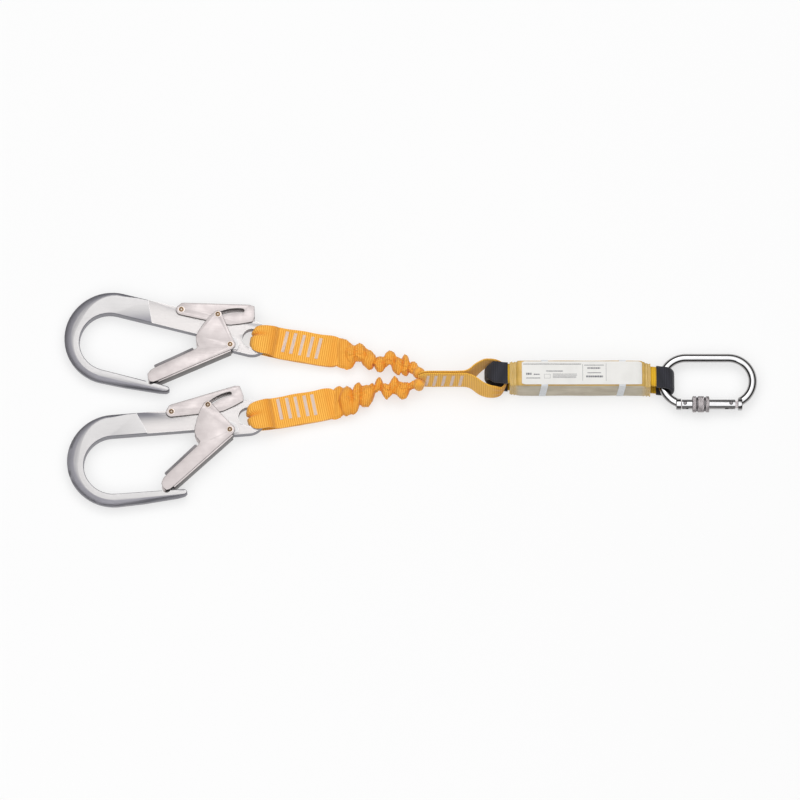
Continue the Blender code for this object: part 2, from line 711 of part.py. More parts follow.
def lock_lever(tag, frame):
    """Folded steel: two cheeks joined by a web along the top edge."""
    outline = arc(LEVER_PIVOT, 6.0, 270, 160, 6)
    outline += [(-64.5, 33.2), (-62, 34.2), (9, 50), (14.5, 49.5), (17.8, 38), (17.0, 31.8)]
    outline += [(5, 26.2), (-5, 22.4), (-9, 21.6)]
    lever = add_object(f"hook_{tag}_lever", plate([outline], -LEVER_OUTER, LEVER_OUTER, 0.45),
                       "steel", frame)
    channel = [(-75, 10), (25, 10), (25, 51.7), (9, 48.3), (-64.6, 31.9), (-75, 31.9)]
    bore = cylinder(2.1, *LEVER_PIVOT, -12, 12, 20)
    inside = plate([channel], -LEVER_INNER, LEVER_INNER)
    cut(lever, [inside, plate([slot_outline()], -12, 12), bore])
    apply_modifiers(lever)
    strip_cutters(lever)
    lever.data.transform(Matrix.Translation((-LEVER_PIVOT[0] * MM, -LEVER_PIVOT[1] * MM, 0)))
    lever.location = (LEVER_PIVOT[0] * MM, LEVER_PIVOT[1] * MM, 0)
    smooth(lever, 25)


def rivet(name, frame, centre, reach, shank, head, finish="copper"):
    """A round pin with a shallow domed head at both ends."""
    top = reach + 0.9
    profile = [(0.0, top), (head * 0.55, top - 0.08), (head * 0.9, top - 0.35), (head, reach),
               (shank, reach), (shank, -reach), (head, -reach), (head * 0.9, 0.35 - top),
               (head * 0.55, 0.08 - top), (0.0, -top)]
    mesh = turned_pin(profile)
    mesh.transform(Matrix.Translation((centre[0] * MM, centre[1] * MM, 0)))
    pin = add_object(name, mesh, finish, frame)
    smooth(pin)


def turned_pin(profile, segments=14):
    """A solid turned shape: the profile starts and ends on the axis."""
    mesh = bpy.data.meshes.new("pin")
    work = bmesh.new()
    corners = [work.verts.new((radius * MM, 0, height * MM)) for radius, height in profile]
    for first, second in zip(corners, corners[1:]):
        work.edges.new((first, second))
    bmesh.ops.spin(work, geom=work.edges[:] + work.verts[:], cent=(0, 0, 0), axis=(0, 0, 1),
                   angle=2 * math.pi, steps=segments)
    bmesh.ops.remove_doubles(work, verts=work.verts, dist=1e-6)
    bmesh.ops.recalc_face_normals(work, faces=work.faces)
    work.to_mesh(mesh)
    work.free()
    return mesh


def torsion_spring(name, frame, centre):
    helix = [(centre[0] + y, centre[1] + z, x - 1.6) for x, y, z in coil(3.3, 3, 3.2, 12)]
    add_object(name, wire(helix, 0.4, 1), "spring", frame)


def scaffold_hook(tag, place):
    rim = turn_point((RIM_X, EYE_CENTRE[1]), place["turn"])
    swing = bpy.data.objects.new(f"hook_{tag}_swing", None)
    PARTS.objects.link(swing)
    swing.location = ((place["x"] + rim[0]) * MM, (place["y"] + rim[1]) * MM, HOOK_Z * MM)
    swing.rotation_euler.z = place["turn"]
    frame = bpy.data.objects.new(f"hook_{tag}_gate_axis", None)
    PARTS.objects.link(frame)
    frame.parent = swing
    frame.location = (-RIM_X * MM, -EYE_CENTRE[1] * MM, 0)
    hook_body(tag, frame)
    hook_gate(tag, frame)
    lock_lever(tag, frame)
    rivet(f"hook_{tag}_gate_rivet", frame, (0, 0), GATE_OUTER + GAP, 1.8, 2.7)
    rivet(f"hook_{tag}_lever_rivet", frame, LEVER_PIVOT, LEVER_OUTER + GAP, 1.8, 2.7)
    rivet(f"hook_{tag}_lock_pin", frame, LOCK_PIN, GATE_OUTER + GAP, 1.65, 2.7)
    torsion_spring(f"hook_{tag}_gate_spring", frame, (0, 0))
    torsion_spring(f"hook_{tag}_lever_spring", frame, LEVER_PIVOT)


LEGS = {
    "a": {
        "start": (-346.65, 45.8), "turn": math.radians(-8.8),
        "line": ((-253, 29.8), (-242, 31.0), (-231, 24.5), (-220, 19.5), (-209, 23.0),
                 (-198, 17.0), (-187, 10.5), (-178.5, 7.4)),
    },
    "b": {
        "start": (-350.0, -40.6), "turn": math.radians(11.5),
        "line": ((-253, -20.5), (-242, -15.5), (-231, -17.0), (-220, -8.0), (-209, -10.0),
                 (-198, -12.5), (-187, -9.0), (-178.5, -6.2)),
    },
}
FLAT_LENGTH = 86.0
GATHER_RADII = (12.0, 12.0, 10.2, 10.8, 9.2, 10.0, 8.8, 7.4, 6.0)
GATHER_FLATTEN = 0.7


def sewn_height(along):
    """Height of the sewn end's middle above the hook's middle plane."""
    share = min(max((along - 6.0) / 40.0, 0.0), 1.0)
    return -3.4 * share


def leg_end_loop(tag, leg):
    """The webbing end: one ply over and one under the hook's rim, joined inside the eye."""
    top = [(FLAT_LENGTH, 1.2, 17.0), (46.0, 1.2, 17.5), (16.0, 1.2, 17.5), (11.5, 4.2, 17.0),
           (7.0, 8.0, 16.0), (2.0, 8.6, 14.5), (-4.5, 8.6, 11.0), (-9.0, 7.2, 7.4),
           (-12.0, 4.2, 7.4), (-13.2, 1.4, 7.4)]
    path = [(s, z + sewn_height(s), w) for s, z, w in top]
    path += [(s, sewn_height(s) - z, w) for s, z, w in reversed(top)]
    points = [(s, HOOK_Z + z) for s, z, w in path]
    widths = [w for s, z, w in path]
    loop = lying_strip(f"leg_{tag}_end_loop", points, widths, [0.0] * len(path), 2.0,
                       "orange_webbing")
    loop.location = (leg["start"][0] * MM, leg["start"][1] * MM, 0)
    loop.rotation_euler.z = leg["turn"]


def leg_middle_line(leg):
    reach = FLAT_LENGTH + 3.2
    first = (leg["start"][0] + reach * math.cos(leg["turn"]),
             leg["start"][1] + reach * math.sin(leg["turn"]))
    return [first] + list(leg["line"])


def leg_height(x, first_x, last_x):
    share = (x - first_x) / (last_x - first_x)
    return 9.2 + 6.0 * min(max(share, 0.0), 1.0)


def leg_gather(tag, leg):
    """The gathered tube, a flattened sleeve of uneven girth with the core's bore through it."""
    line = leg_middle_line(leg)
    first_x, last_x = line[0][0], line[-1][0]
    flat = [(x, y, 0.0) for x, y in line]
    radii = [radius / GATHER_RADII[0] for radius in GATHER_RADII]
    outer = wire(flat, GATHER_RADII[0], 2, radii)
    for corner in outer.vertices:
        lift = leg_height(corner.co.x / MM, first_x, last_x)
        corner.co.z = corner.co.z * GATHER_FLATTEN + lift * MM
    gather = add_object(f"leg_{tag}_gather", outer, "orange_webbing")
    bore_line = [(line[0][0] - 5, line[0][1] - 5 * math.tan(leg["turn"]))] + line
    bore_line.append((line[-1][0] + 5, line[-1][1] + (line[-1][1] - line[-2][1]) * 5 / 8.5))
    bore = [(x, y, leg_height(x, first_x, last_x)) for x, y in bore_line]
    cut(gather, [wire(bore, CORE_RADIUS + 0.5, 1)])
    core = [(x, y, leg_height(x, first_x, last_x)) for x, y in line]
    cord = add_object(f"leg_{tag}_core", wire(core, CORE_RADIUS, 1), "core_rubber")
    for piece in (gather, cord):
        move_origin(piece, last_x, line[-1][1], leg_height(last_x, first_x, last_x))
        smooth(piece, 60)


def eye_loop():
    """The stem's two plies on edge, opening into the eye that links with the pack's left loop."""
    ply = STEM_HALF_HEIGHT
    front, back = STEM_Y - 1.3, STEM_Y + 1.3
    # x, y, half width, middle height, lean
    line = [(STEM_LEFT_X, front, ply, 16.3, STEM_LEAN), (-150, front, ply, 16.3, STEM_LEAN),
            (STEM_RIGHT_X, front, ply, 16.3, STEM_LEAN), (-119, -2.8, ply, 16.3, 0.2),
            (-113, -7.2, 15.5, 15.8, 0.24), (-107, -11.0, 14.5, 15.2, 0.26),
            (-100, -12.9, 13.0, 14.2, 0.26), (-93, -12.8, 9.2, 12.8, 0.2),
            (-87, -11.2, 6.0, LOOP_Z, 0.1), (-83.0, -6.0, 4.7, LOOP_Z, 0.0),
            (-80.6, 0.0, 4.7, LOOP_Z, 0.0), (-79.8, 6.0, 4.7, LOOP_Z, 0.0),
            (-80.4, 11.5, 4.7, LOOP_Z, 0.0), (-82.5, 16.4, 4.9, LOOP_Z, 0.0),
            (-87, 21.2, 6.4, LOOP_Z, 0.0), (-93, 23.0, 9.6, 12.8, 0.06),
            (-100, 23.0, 12.5, 14.2, 0.1), (-105, 22.0, 14.0, 15.2, 0.12),
            (-110.5, 17.2, 15.0, 15.8, 0.14), (-116, 11.0, ply, 16.3, STEM_LEAN),
            (-121, 5.4, ply, 16.3, STEM_LEAN),
            (STEM_RIGHT_X, back + 0.4, ply, 16.3, STEM_LEAN), (-150, back, ply, 16.3, STEM_LEAN),
            (STEM_LEFT_X, back, ply, 16.3, STEM_LEAN)]
    low = [(x, y - lean * w, z - w) for x, y, w, z, lean in line]
    high = [(x, y + lean * w, z + w) for x, y, w, z, lean in line]
    loop = sheet("eye_loop", low, high, 2.1, "orange_webbing")
    move_origin(loop, EYE_BIGHT_X, EYE_BIGHT_Y, LOOP_Z)


clear_scene()
PARTS = new_collection("shock_absorbing_lanyard")
CUTTERS = new_collection("cutters")
absorber_pack()
carabiner()
for hook_tag, hook_place in HOOKS.items():
    scaffold_hook(hook_tag, hook_place)
for leg_tag, leg_shape in LEGS.items():
    leg_end_loop(leg_tag, leg_shape)
    leg_gather(leg_tag, leg_shape)
eye_loop()
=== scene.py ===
"""Visual model of the twin-leg shock absorbing lanyard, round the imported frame.

Lengths in the builders below are in millimetres and are scaled by MM when a mesh is made.
"""

import math
import random

import bmesh
import bpy
import numpy as np
from mathutils import Matrix, Vector, noise


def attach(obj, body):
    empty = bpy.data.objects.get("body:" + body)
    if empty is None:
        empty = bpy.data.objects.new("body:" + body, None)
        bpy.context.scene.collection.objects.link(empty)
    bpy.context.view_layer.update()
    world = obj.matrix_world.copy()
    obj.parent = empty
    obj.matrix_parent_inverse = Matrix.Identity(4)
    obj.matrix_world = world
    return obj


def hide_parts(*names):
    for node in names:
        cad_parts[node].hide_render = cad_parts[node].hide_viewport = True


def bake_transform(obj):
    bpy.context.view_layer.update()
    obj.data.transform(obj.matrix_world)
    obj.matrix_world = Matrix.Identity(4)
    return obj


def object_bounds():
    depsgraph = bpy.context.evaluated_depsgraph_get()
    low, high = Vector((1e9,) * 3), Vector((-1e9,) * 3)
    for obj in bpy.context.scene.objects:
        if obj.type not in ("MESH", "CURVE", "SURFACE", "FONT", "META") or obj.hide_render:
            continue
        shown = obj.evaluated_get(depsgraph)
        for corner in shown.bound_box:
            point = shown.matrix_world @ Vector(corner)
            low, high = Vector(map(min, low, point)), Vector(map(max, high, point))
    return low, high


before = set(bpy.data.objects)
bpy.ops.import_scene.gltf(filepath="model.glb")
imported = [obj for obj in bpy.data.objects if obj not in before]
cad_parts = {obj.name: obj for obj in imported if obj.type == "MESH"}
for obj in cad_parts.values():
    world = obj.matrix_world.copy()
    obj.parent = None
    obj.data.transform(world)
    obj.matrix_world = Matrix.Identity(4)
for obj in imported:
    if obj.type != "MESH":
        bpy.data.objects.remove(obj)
CAD_BOX = [list(corner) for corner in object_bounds()]

MM = 0.001
RIB_PITCH = 2.3
ROWS_PER_RIB = 5
RIB_HEIGHT = 0.13
THREAD_PITCH = 0.62
HOOK_Z = 9.6
MILLED_HALF = 5.5
# x, y and turn in degrees: of each hook's gate pivot, and of the place where each flat end starts
HOOKS = {"a": (-385.0, 39.7, -14.4), "b": (-384.8, -58.2, 4.6)}
LEG_STARTS = {"a": (-346.65, 45.8, -8.8), "b": (-350.0, -40.6, 11.5)}
GATE_Y = -27.4
CARABINER_Z = 11.45
SLEEVE_START = 123.3
SLEEVE_GROOVES = ((4.5, 5.9), (13.0, 14.7))
LATCH_X, HINGE_X = 115.4, 166.0


# ---------------------------------------------------------------- materials
class Graph:
    """A node material, written as nested calls."""

    def __init__(self, name):
        self.material = bpy.data.materials.new(name)
        self.material.use_nodes = True
        self.tree = self.material.node_tree
        self.shader = self.tree.nodes["Principled BSDF"]

    def node(self, kind, **settings):
        made = self.tree.nodes.new(kind)
        for key, value in settings.items():
            setattr(made, key, value)
        return made

    def link(self, value, socket):
        if isinstance(value, bpy.types.NodeSocket):
            self.tree.links.new(value, socket)
        elif isinstance(value, tuple) and len(value) == 3 and socket.type == "RGBA":
            socket.default_value = (*value, 1.0)
        else:
            socket.default_value = value

    def math(self, operation, first, second=0.0):
        made = self.node("ShaderNodeMath", operation=operation)
        self.link(first, made.inputs[0])
        self.link(second, made.inputs[1])
        return made.outputs[0]

    def mix(self, share, first, second):
        made = self.node("ShaderNodeMix", data_type="RGBA")
        self.link(share, made.inputs[0])
        self.link(first, made.inputs[6])
        self.link(second, made.inputs[7])
        return made.outputs[2]

    def span(self, value, low, high, out_low=0.0, out_high=1.0):
        made = self.node("ShaderNodeMapRange", interpolation_type="SMOOTHSTEP")
        for socket, item in zip(made.inputs, (value, low, high, out_low, out_high)):
            self.link(item, socket)
        return made.outputs[0]

    def noise(self, scale, detail=3.0, stretch=None):
        made = self.node("ShaderNodeTexNoise")
        made.inputs["Scale"].default_value = scale
        made.inputs["Detail"].default_value = detail
        where = self.node("ShaderNodeTexCoord").outputs["Object"]
        if stretch:
            mapping = self.node("ShaderNodeMapping")
            self.link(where, mapping.inputs[0])
            mapping.inputs["Scale"].default_value = stretch
            where = mapping.outputs[0]
        self.link(where, made.inputs["Vector"])
        return made.outputs[0]

    def wave(self, value, pitch):
        """0 to 1 and back over each pitch."""
        turned = self.math("SINE", self.math("MULTIPLY", value, 2 * math.pi / pitch))
        return self.math("ADD", self.math("MULTIPLY", turned, 0.5), 0.5)

    def parts(self, vector):
        split = self.node("ShaderNodeSeparateXYZ")
        self.link(vector, split.inputs[0])
        return split.outputs

    def cloth(self):
        """Length along, place across and the painted shade in folds, from the mesh."""
        return self.parts(self.node("ShaderNodeAttribute", attribute_name="cloth").outputs["Vector"])

    def height_part(self, name):
        """The Z part of the object's own Normal or Object coordinates."""
        return self.parts(self.node("ShaderNodeTexCoord").outputs[name])[2]

    def edge(self, radius):
        """1 along edges sharper than the radius, 0 on open faces."""
        bevel = self.node("ShaderNodeBevel", samples=4)
        bevel.inputs["Radius"].default_value = radius * MM
        dot = self.node("ShaderNodeVectorMath", operation="DOT_PRODUCT")
        self.link(bevel.outputs[0], dot.inputs[0])
        self.link(self.node("ShaderNodeNewGeometry").outputs["Normal"], dot.inputs[1])
        return self.span(dot.outputs["Value"], 0.995, 0.8)

    def bump(self, height, strength, distance):
        made = self.node("ShaderNodeBump")
        made.inputs["Strength"].default_value = strength
        made.inputs["Distance"].default_value = distance * MM
        self.link(height, made.inputs["Height"])
        return made.outputs[0]

    def finish(self, **values):
        for key, value in values.items():
            self.link(value, self.shader.inputs[key.replace("_", " ")])
        return self.material


def webbing_material(name, light, dark, deep):
    """Ribbed polyester webbing: ribs across, fine threads along, painted shade in the folds and worn fuzz.
    """
    graph = Graph(name)
    along, across, fold = graph.cloth()
    rib = graph.wave(along, RIB_PITCH)
    thread = graph.wave(across, THREAD_PITCH)
    patch = graph.noise(38.0, 4.0)
    fuzz = graph.noise(1900.0, 2.0)
    shade = graph.math("MULTIPLY", rib, graph.span(thread, 0.0, 1.0, 0.72, 1.0))
    colour = graph.mix(shade, dark, light)
    colour = graph.mix(graph.span(patch, 0.35, 0.7, 0.0, 0.22), colour, dark)
    colour = graph.mix(graph.span(fuzz, 0.35, 0.8, 0.0, 0.2), colour, light)
    # Painted shade: the colour turns to the deep colour as far as the mesh's fold shade goes.
    colour = graph.mix(fold, colour, deep)
    height = graph.math("ADD", graph.math("MULTIPLY", thread, 0.5), fuzz)
    return graph.finish(Base_Color=colour, Roughness=graph.span(fuzz, 0.2, 0.8, 0.62, 0.85),
                        Sheen_Weight=0.25, Sheen_Roughness=0.5, Specular_IOR_Level=0.3,
                        Normal=graph.bump(height, 0.55, 0.12))


def thread_material(name, light, dark):
    """Sewing thread laid side by side."""
    graph = Graph(name)
    strand = graph.wave(graph.cloth()[1], THREAD_PITCH)
    fuzz = graph.noise(2400.0, 2.0)
    colour = graph.mix(strand, dark, light)
    colour = graph.mix(graph.span(fuzz, 0.4, 0.9, 0.0, 0.4), colour, dark)
    return graph.finish(Base_Color=colour, Roughness=0.6, Sheen_Weight=0.3,
                        Normal=graph.bump(fuzz, 0.3, 0.1))


def metal_material(name, light, dark, roughness, grain=(1, 1, 1), brush=0.25, wear=0.8,
                   cloud_scale=26.0, side=None):
    """Metal with grain drawn out along one axis, uneven gloss, a painted highlight along the edges and,
    when side is given, painted shade on upright faces.
    """
    graph = Graph(name)
    lines = graph.noise(900.0, 3.0, grain)
    cloud = graph.noise(cloud_scale, 4.0)
    colour = graph.mix(graph.span(cloud, 0.3, 0.75), light, dark)
    colour = graph.mix(graph.span(lines, 0.35, 0.7, 0.0, brush), colour, dark)
    # Painted shade: faces that stand upright take the side colour.
    if side:
        level = graph.math("ABSOLUTE", graph.height_part("Normal"))
        colour = graph.mix(graph.span(level, 0.75, 0.35), colour, side)
    # Painted highlight: edges turn brighter, by the share wear.
    edge = graph.edge(0.6)
    bright = tuple(min(1.0, part * 1.25 + 0.05) for part in light)
    colour = graph.mix(graph.math("MULTIPLY", edge, wear), colour, bright)
    gloss = graph.span(graph.math("ADD", lines, cloud), 0.6, 1.4, roughness * 0.9, roughness * 1.12)
    return graph.finish(Base_Color=colour, Metallic=1.0, Roughness=gloss,
                        Normal=graph.bump(lines, 0.3, 0.02))


def polished_material():
    """Mirror-polished bar with painted studio reflections: a bright middle, dark flanks and a gray rim,
    set by how squarely each spot faces the view.
    """
    graph = Graph("polished_steel")
    facing = graph.node("ShaderNodeLayerWeight").outputs["Facing"]
    cloud = graph.noise(90.0, 3.0)
    scratch = graph.noise(1300.0, 2.0, (0.2, 1.0, 1.0))
    # Painted reflections: colour bands set by facing.
    colour = graph.mix(graph.span(facing, 0.035, 0.13), (0.60, 0.60, 0.61), (0.15, 0.145, 0.145))
    colour = graph.mix(graph.span(facing, 0.33, 0.50), colour, (0.50, 0.49, 0.49))
    colour = graph.mix(graph.span(facing, 0.66, 0.85), colour, (0.10, 0.10, 0.105))
    colour = graph.mix(graph.span(cloud, 0.4, 0.7, 0.0, 0.18), colour, (0.36, 0.35, 0.35))
    return graph.finish(Base_Color=colour, Metallic=1.0,
                        Roughness=graph.span(scratch, 0.3, 0.7, 0.06, 0.13),
                        Normal=graph.bump(scratch, 0.2, 0.004))


def forged_material():
    """The hook's forging: gray satin; flat faces and milled flats painted lighter and slopes darker as
    light falls, with a painted highlight along the edges.
    """
    graph = Graph("forged_aluminium")
    # Painted light: faces that look straight up or down are lighter, slopes darker.
    normal_z = graph.math("ABSOLUTE", graph.height_part("Normal"))
    flat = graph.span(normal_z, 0.962, 0.9993)
    level = graph.math("SUBTRACT", graph.height_part("Object"), HOOK_Z * MM)
    milled = graph.math("LESS_THAN", graph.math("ABSOLUTE", level), MILLED_HALF * MM)
    milled = graph.math("MULTIPLY", milled, flat)
    grain = graph.noise(1500.0, 3.0)
    cloud = graph.noise(30.0, 4.0)
    lines = graph.noise(700.0, 2.0, (0.06, 1.0, 1.0))
    colour = graph.mix(graph.span(cloud, 0.3, 0.7), (0.25, 0.245, 0.27), (0.21, 0.205, 0.23))
    colour = graph.mix(flat, colour, (0.43, 0.42, 0.42))
    colour = graph.mix(milled, colour, (0.445, 0.425, 0.42))
    colour = graph.mix(graph.span(lines, 0.4, 0.75, 0.0, 0.12), colour, (0.3, 0.29, 0.3))
    # Painted highlight: near white along the sharp edges.
    colour = graph.mix(graph.math("MULTIPLY", graph.edge(0.7), 0.6), colour, (0.9, 0.88, 0.87))
    gloss = graph.math("ADD", graph.span(grain, 0.3, 0.7, 0.34, 0.46),
                       graph.math("MULTIPLY", flat, -0.04))
    return graph.finish(Base_Color=colour, Metallic=0.75, Roughness=gloss,
                        Normal=graph.bump(grain, 0.25, 0.05))


def film_material():
    """Shrunk clear film: milky, wrinkled and tinted by the webbing under it."""
    graph = Graph("clear_film")
    folds = graph.noise(120.0, 3.0, (0.25, 1.0, 1.0))
    cloud = graph.noise(45.0, 3.0)
    pull = graph.cloth()[2]
    upward = graph.span(graph.height_part("Normal"), 0.30, 0.75)
    colour = graph.mix(graph.span(cloud, 0.3, 0.7), (0.63, 0.555, 0.42), (0.54, 0.475, 0.35))
    colour = graph.mix(upward, colour, (0.72, 0.45, 0.10))
    colour = graph.mix(pull, colour, graph.mix(folds, (0.74, 0.52, 0.17), (0.60, 0.40, 0.12)))
    haze = graph.span(folds, 0.3, 0.75, 0.62, 0.82)
    return graph.finish(Base_Color=colour, Roughness=0.22, Alpha=haze, IOR=1.4,
                        Coat_Weight=0.4, Normal=graph.bump(folds, 0.35, 0.5))


def plain_material(name, light, dark, roughness, scale=60.0, **extra):
    """A smooth sheet material with slight uneven colour and fine grain."""
    graph = Graph(name)
    cloud = graph.noise(scale, 4.0)
    grain = graph.noise(1400.0, 2.0)
    colour = graph.mix(graph.span(cloud, 0.3, 0.72), light, dark)
    gloss = graph.span(grain, 0.3, 0.7, roughness * 0.85, min(1.0, roughness * 1.15))
    return graph.finish(Base_Color=colour, Roughness=gloss,
                        Normal=graph.bump(grain, 0.15, 0.04), **extra)


# The last colour of each webbing is the painted shade in its folds.
ORANGE = webbing_material("orange_webbing", (0.98, 0.56, 0.105), (0.70, 0.26, 0.014),
                          (0.70, 0.225, 0.006))
# A copy of the orange webbing toned to the stem's shaded upright face: painted shade.
STEM_WEB_SHADED = webbing_material("stem_webbing_shaded", (0.94, 0.55, 0.085), (0.66, 0.31, 0.016),
                            (0.50, 0.17, 0.005))
GOLD = webbing_material("gold_webbing", (0.80, 0.49, 0.012), (0.56, 0.30, 0.006),
                        (0.35, 0.17, 0.004))
SLEEVE = webbing_material("black_sleeve", (0.030, 0.031, 0.042), (0.012, 0.012, 0.018),
                          (0.004, 0.004, 0.006))
TACK = thread_material("tack_thread", (0.76, 0.64, 0.57), (0.60, 0.43, 0.33))
FORGED = forged_material()
# The side colour is painted shade on the plated parts' upright faces; every metal here gets the painted
# edge highlight.
PLATED = metal_material("zinc_plated_steel", (0.45, 0.412, 0.407), (0.425, 0.386, 0.383), 0.40,
                        grain=(0.08, 1, 1), brush=0.3, cloud_scale=120.0, side=(0.16, 0.148, 0.145))
BRASS = metal_material("rivet_brass", (0.30, 0.19, 0.095), (0.16, 0.095, 0.045), 0.34, wear=0.2)
CHROME = polished_material()
TURNED = metal_material("turned_steel", (0.46, 0.425, 0.43), (0.27, 0.25, 0.255), 0.33,
                        grain=(1, 0.1, 0.1), brush=0.35, cloud_scale=420.0)
# The pale ring round each rivet: its colour is a painted highlight on the bright countersink ring.
RIVET_RING_HIGHLIGHT = metal_material("rivet_ring_highlight", (0.62, 0.56, 0.53), (0.50, 0.44, 0.41), 0.3)
BRIGHT = metal_material("rivet_centre", (0.42, 0.35, 0.29), (0.32, 0.26, 0.21), 0.25)
# Dark steel that stands for shade: painted shade on the gate lips, the sleeve's groove floors and the pin
# rivets' rims.
SHADE_STEEL = metal_material("painted_shade_steel", (0.17, 0.16, 0.165), (0.11, 0.105, 0.11), 0.45)
SPRING = metal_material("spring_steel", (0.45, 0.45, 0.47), (0.3, 0.3, 0.32), 0.3)
FILM = film_material()
PAPER = plain_material("label_sheet", (0.70, 0.69, 0.665), (0.65, 0.64, 0.615), 0.5,
                       Coat_Weight=0.3)
INK = plain_material("label_ink", (0.13, 0.13, 0.145), (0.22, 0.22, 0.235), 0.5, scale=600.0)
TAPE = plain_material("clear_tape", (0.80, 0.815, 0.835), (0.72, 0.74, 0.76), 0.28, Alpha=0.8)
RUBBER = plain_material("elastic_core", (0.72, 0.69, 0.6), (0.6, 0.56, 0.47), 0.7)


# ---------------------------------------------------------------- mesh helpers
def ease(low, high, value):
    share = np.clip((value - low) / (high - low), 0.0, 1.0)
    return share * share * (3 - 2 * share)


def spline(rows, step):
    """Rows (x, y, z, ...) in mm on a smooth curve, at an even step; column 0 becomes the length."""
    rows = np.array(rows, float)
    gaps = np.sqrt(np.linalg.norm(np.diff(rows[:, :3], axis=0), axis=1))
    knots = np.concatenate([[0.0], np.cumsum(gaps)])
    slopes = np.gradient(rows, knots, axis=0)
    dense = []
    for index in range(len(rows) - 1):
        width = knots[index + 1] - knots[index]
        for share in np.linspace(0, 1, 20, endpoint=False):
            cube, square = share ** 3, share ** 2
            dense.append((2 * cube - 3 * square + 1) * rows[index]
                         + (cube - 2 * square + share) * width * slopes[index]
                         + (3 * square - 2 * cube) * rows[index + 1]
                         + (cube - square) * width * slopes[index + 1])
    dense = np.array(dense + [rows[-1]])
    steps = np.linalg.norm(np.diff(dense[:, :3], axis=0), axis=1)
    length = np.concatenate([[0.0], np.cumsum(steps)])
    places = np.linspace(0, length[-1], max(3, int(length[-1] / step)))
    columns = [np.interp(places, length, dense[:, column]) for column in range(rows.shape[1])]
    return np.column_stack([places] + columns)


def grid_faces(rows, columns, start, flip=False, closed=False):
    faces = []
    last = columns if closed else columns - 1
    for row in range(rows - 1):
        for column in range(last):
            right = (column + 1) % columns
            quad = (start + row * columns + column, start + row * columns + right,
                    start + (row + 1) * columns + right, start + (row + 1) * columns + column)
            faces.append(quad[::-1] if flip else quad)
    return faces


def slab(top, bottom, cloth):
    """A closed sheet between two grids of points; returns points, faces and cloth values."""
    rows, columns = top.shape[:2]
    count = rows * columns
    faces = grid_faces(rows, columns, 0) + grid_faces(rows, columns, count, flip=True)
    for row in range(rows - 1):
        for column, flip in ((0, False), (columns - 1, True)):
            near, far = row * columns + column, (row + 1) * columns + column
            quad = (near, far, far + count, near + count)
            faces.append(quad[::-1] if flip else quad)
    for column in range(columns - 1):
        for row, flip in ((0, True), (rows - 1, False)):
            near = row * columns + column
            quad = (near, near + 1, near + 1 + count, near + count)
            faces.append(quad[::-1] if not flip else quad)
    points = np.concatenate([top.reshape(-1, 3), bottom.reshape(-1, 3)])
    return points, faces, np.concatenate([cloth.reshape(-1, 3)] * 2)


def tube(rings, cloth):
    """A closed tube through rings of points, capped at both ends."""
    rows, columns = rings.shape[:2]
    faces = grid_faces(rows, columns, 0, closed=True)
    faces.append(tuple(range(columns))[::-1])
    faces.append(tuple(range((rows - 1) * columns, rows * columns)))
    return rings.reshape(-1, 3), faces, cloth.reshape(-1, 3)


def ring_faces(rows, columns):
    """Faces of a hollow ring, whose last row of points joins its first."""
    last = (rows - 1) * columns
    faces = grid_faces(rows, columns, 0, closed=True)
    return faces + [(last + i, last + (i + 1) % columns, (i + 1) % columns, i) for i in range(columns)]


def prism(outline, high, low):
    """A flat solid on an outline of (x, y), between two heights."""
    count = len(outline)
    points = np.array([(x, y, z) for z in (high, low) for x, y in outline])
    faces = [tuple(range(count)), tuple(range(count, 2 * count))[::-1]]
    faces += [(i, (i + 1) % count, count + (i + 1) % count, count + i) for i in range(count)]
    return points, faces, np.zeros_like(points)


def add_object(name, mesh, material, sharp):
    """Shows a mesh as an object, smooth except across its sharp edges."""
    mesh.shade_smooth()
    mesh.set_sharp_from_angle(angle=math.radians(sharp))
    mesh.materials.append(material)
    piece = bpy.data.objects.new(name, mesh)
    bpy.context.scene.collection.objects.link(piece)
    return piece


def fit(piece, body=None, nodes=()):
    """Ties a piece to its body and the CAD nodes that it stands for."""
    if nodes:
        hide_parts(*nodes)
    if body:
        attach(piece, body)


def build(name, parts, material, place=None, sharp=50, wave=True):
    """One object from (points, faces, cloth) parts in mm."""
    points, faces, cloth, start = [], [], [], 0
    for part_points, part_faces, part_cloth in parts:
        points.append(part_points)
        cloth.append(part_cloth)
        faces += [tuple(start + corner for corner in face) for face in part_faces]
        start += len(part_points)
    points, cloth = np.concatenate(points) * MM, np.concatenate(cloth)
    mesh = bpy.data.meshes.new(name)
    mesh.from_pydata(points.tolist(), [], faces)
    if wave:
        layer = mesh.attributes.new("cloth", "FLOAT_VECTOR", "POINT")
        layer.data.foreach_set("vector", cloth.astype(np.float32).ravel())
    if place is not None:
        mesh.transform(place)
    work = bmesh.new()
    work.from_mesh(mesh)
    bmesh.ops.recalc_face_normals(work, faces=work.faces)
    work.to_mesh(mesh)
    work.free()
    return add_object(name, mesh, material, sharp)


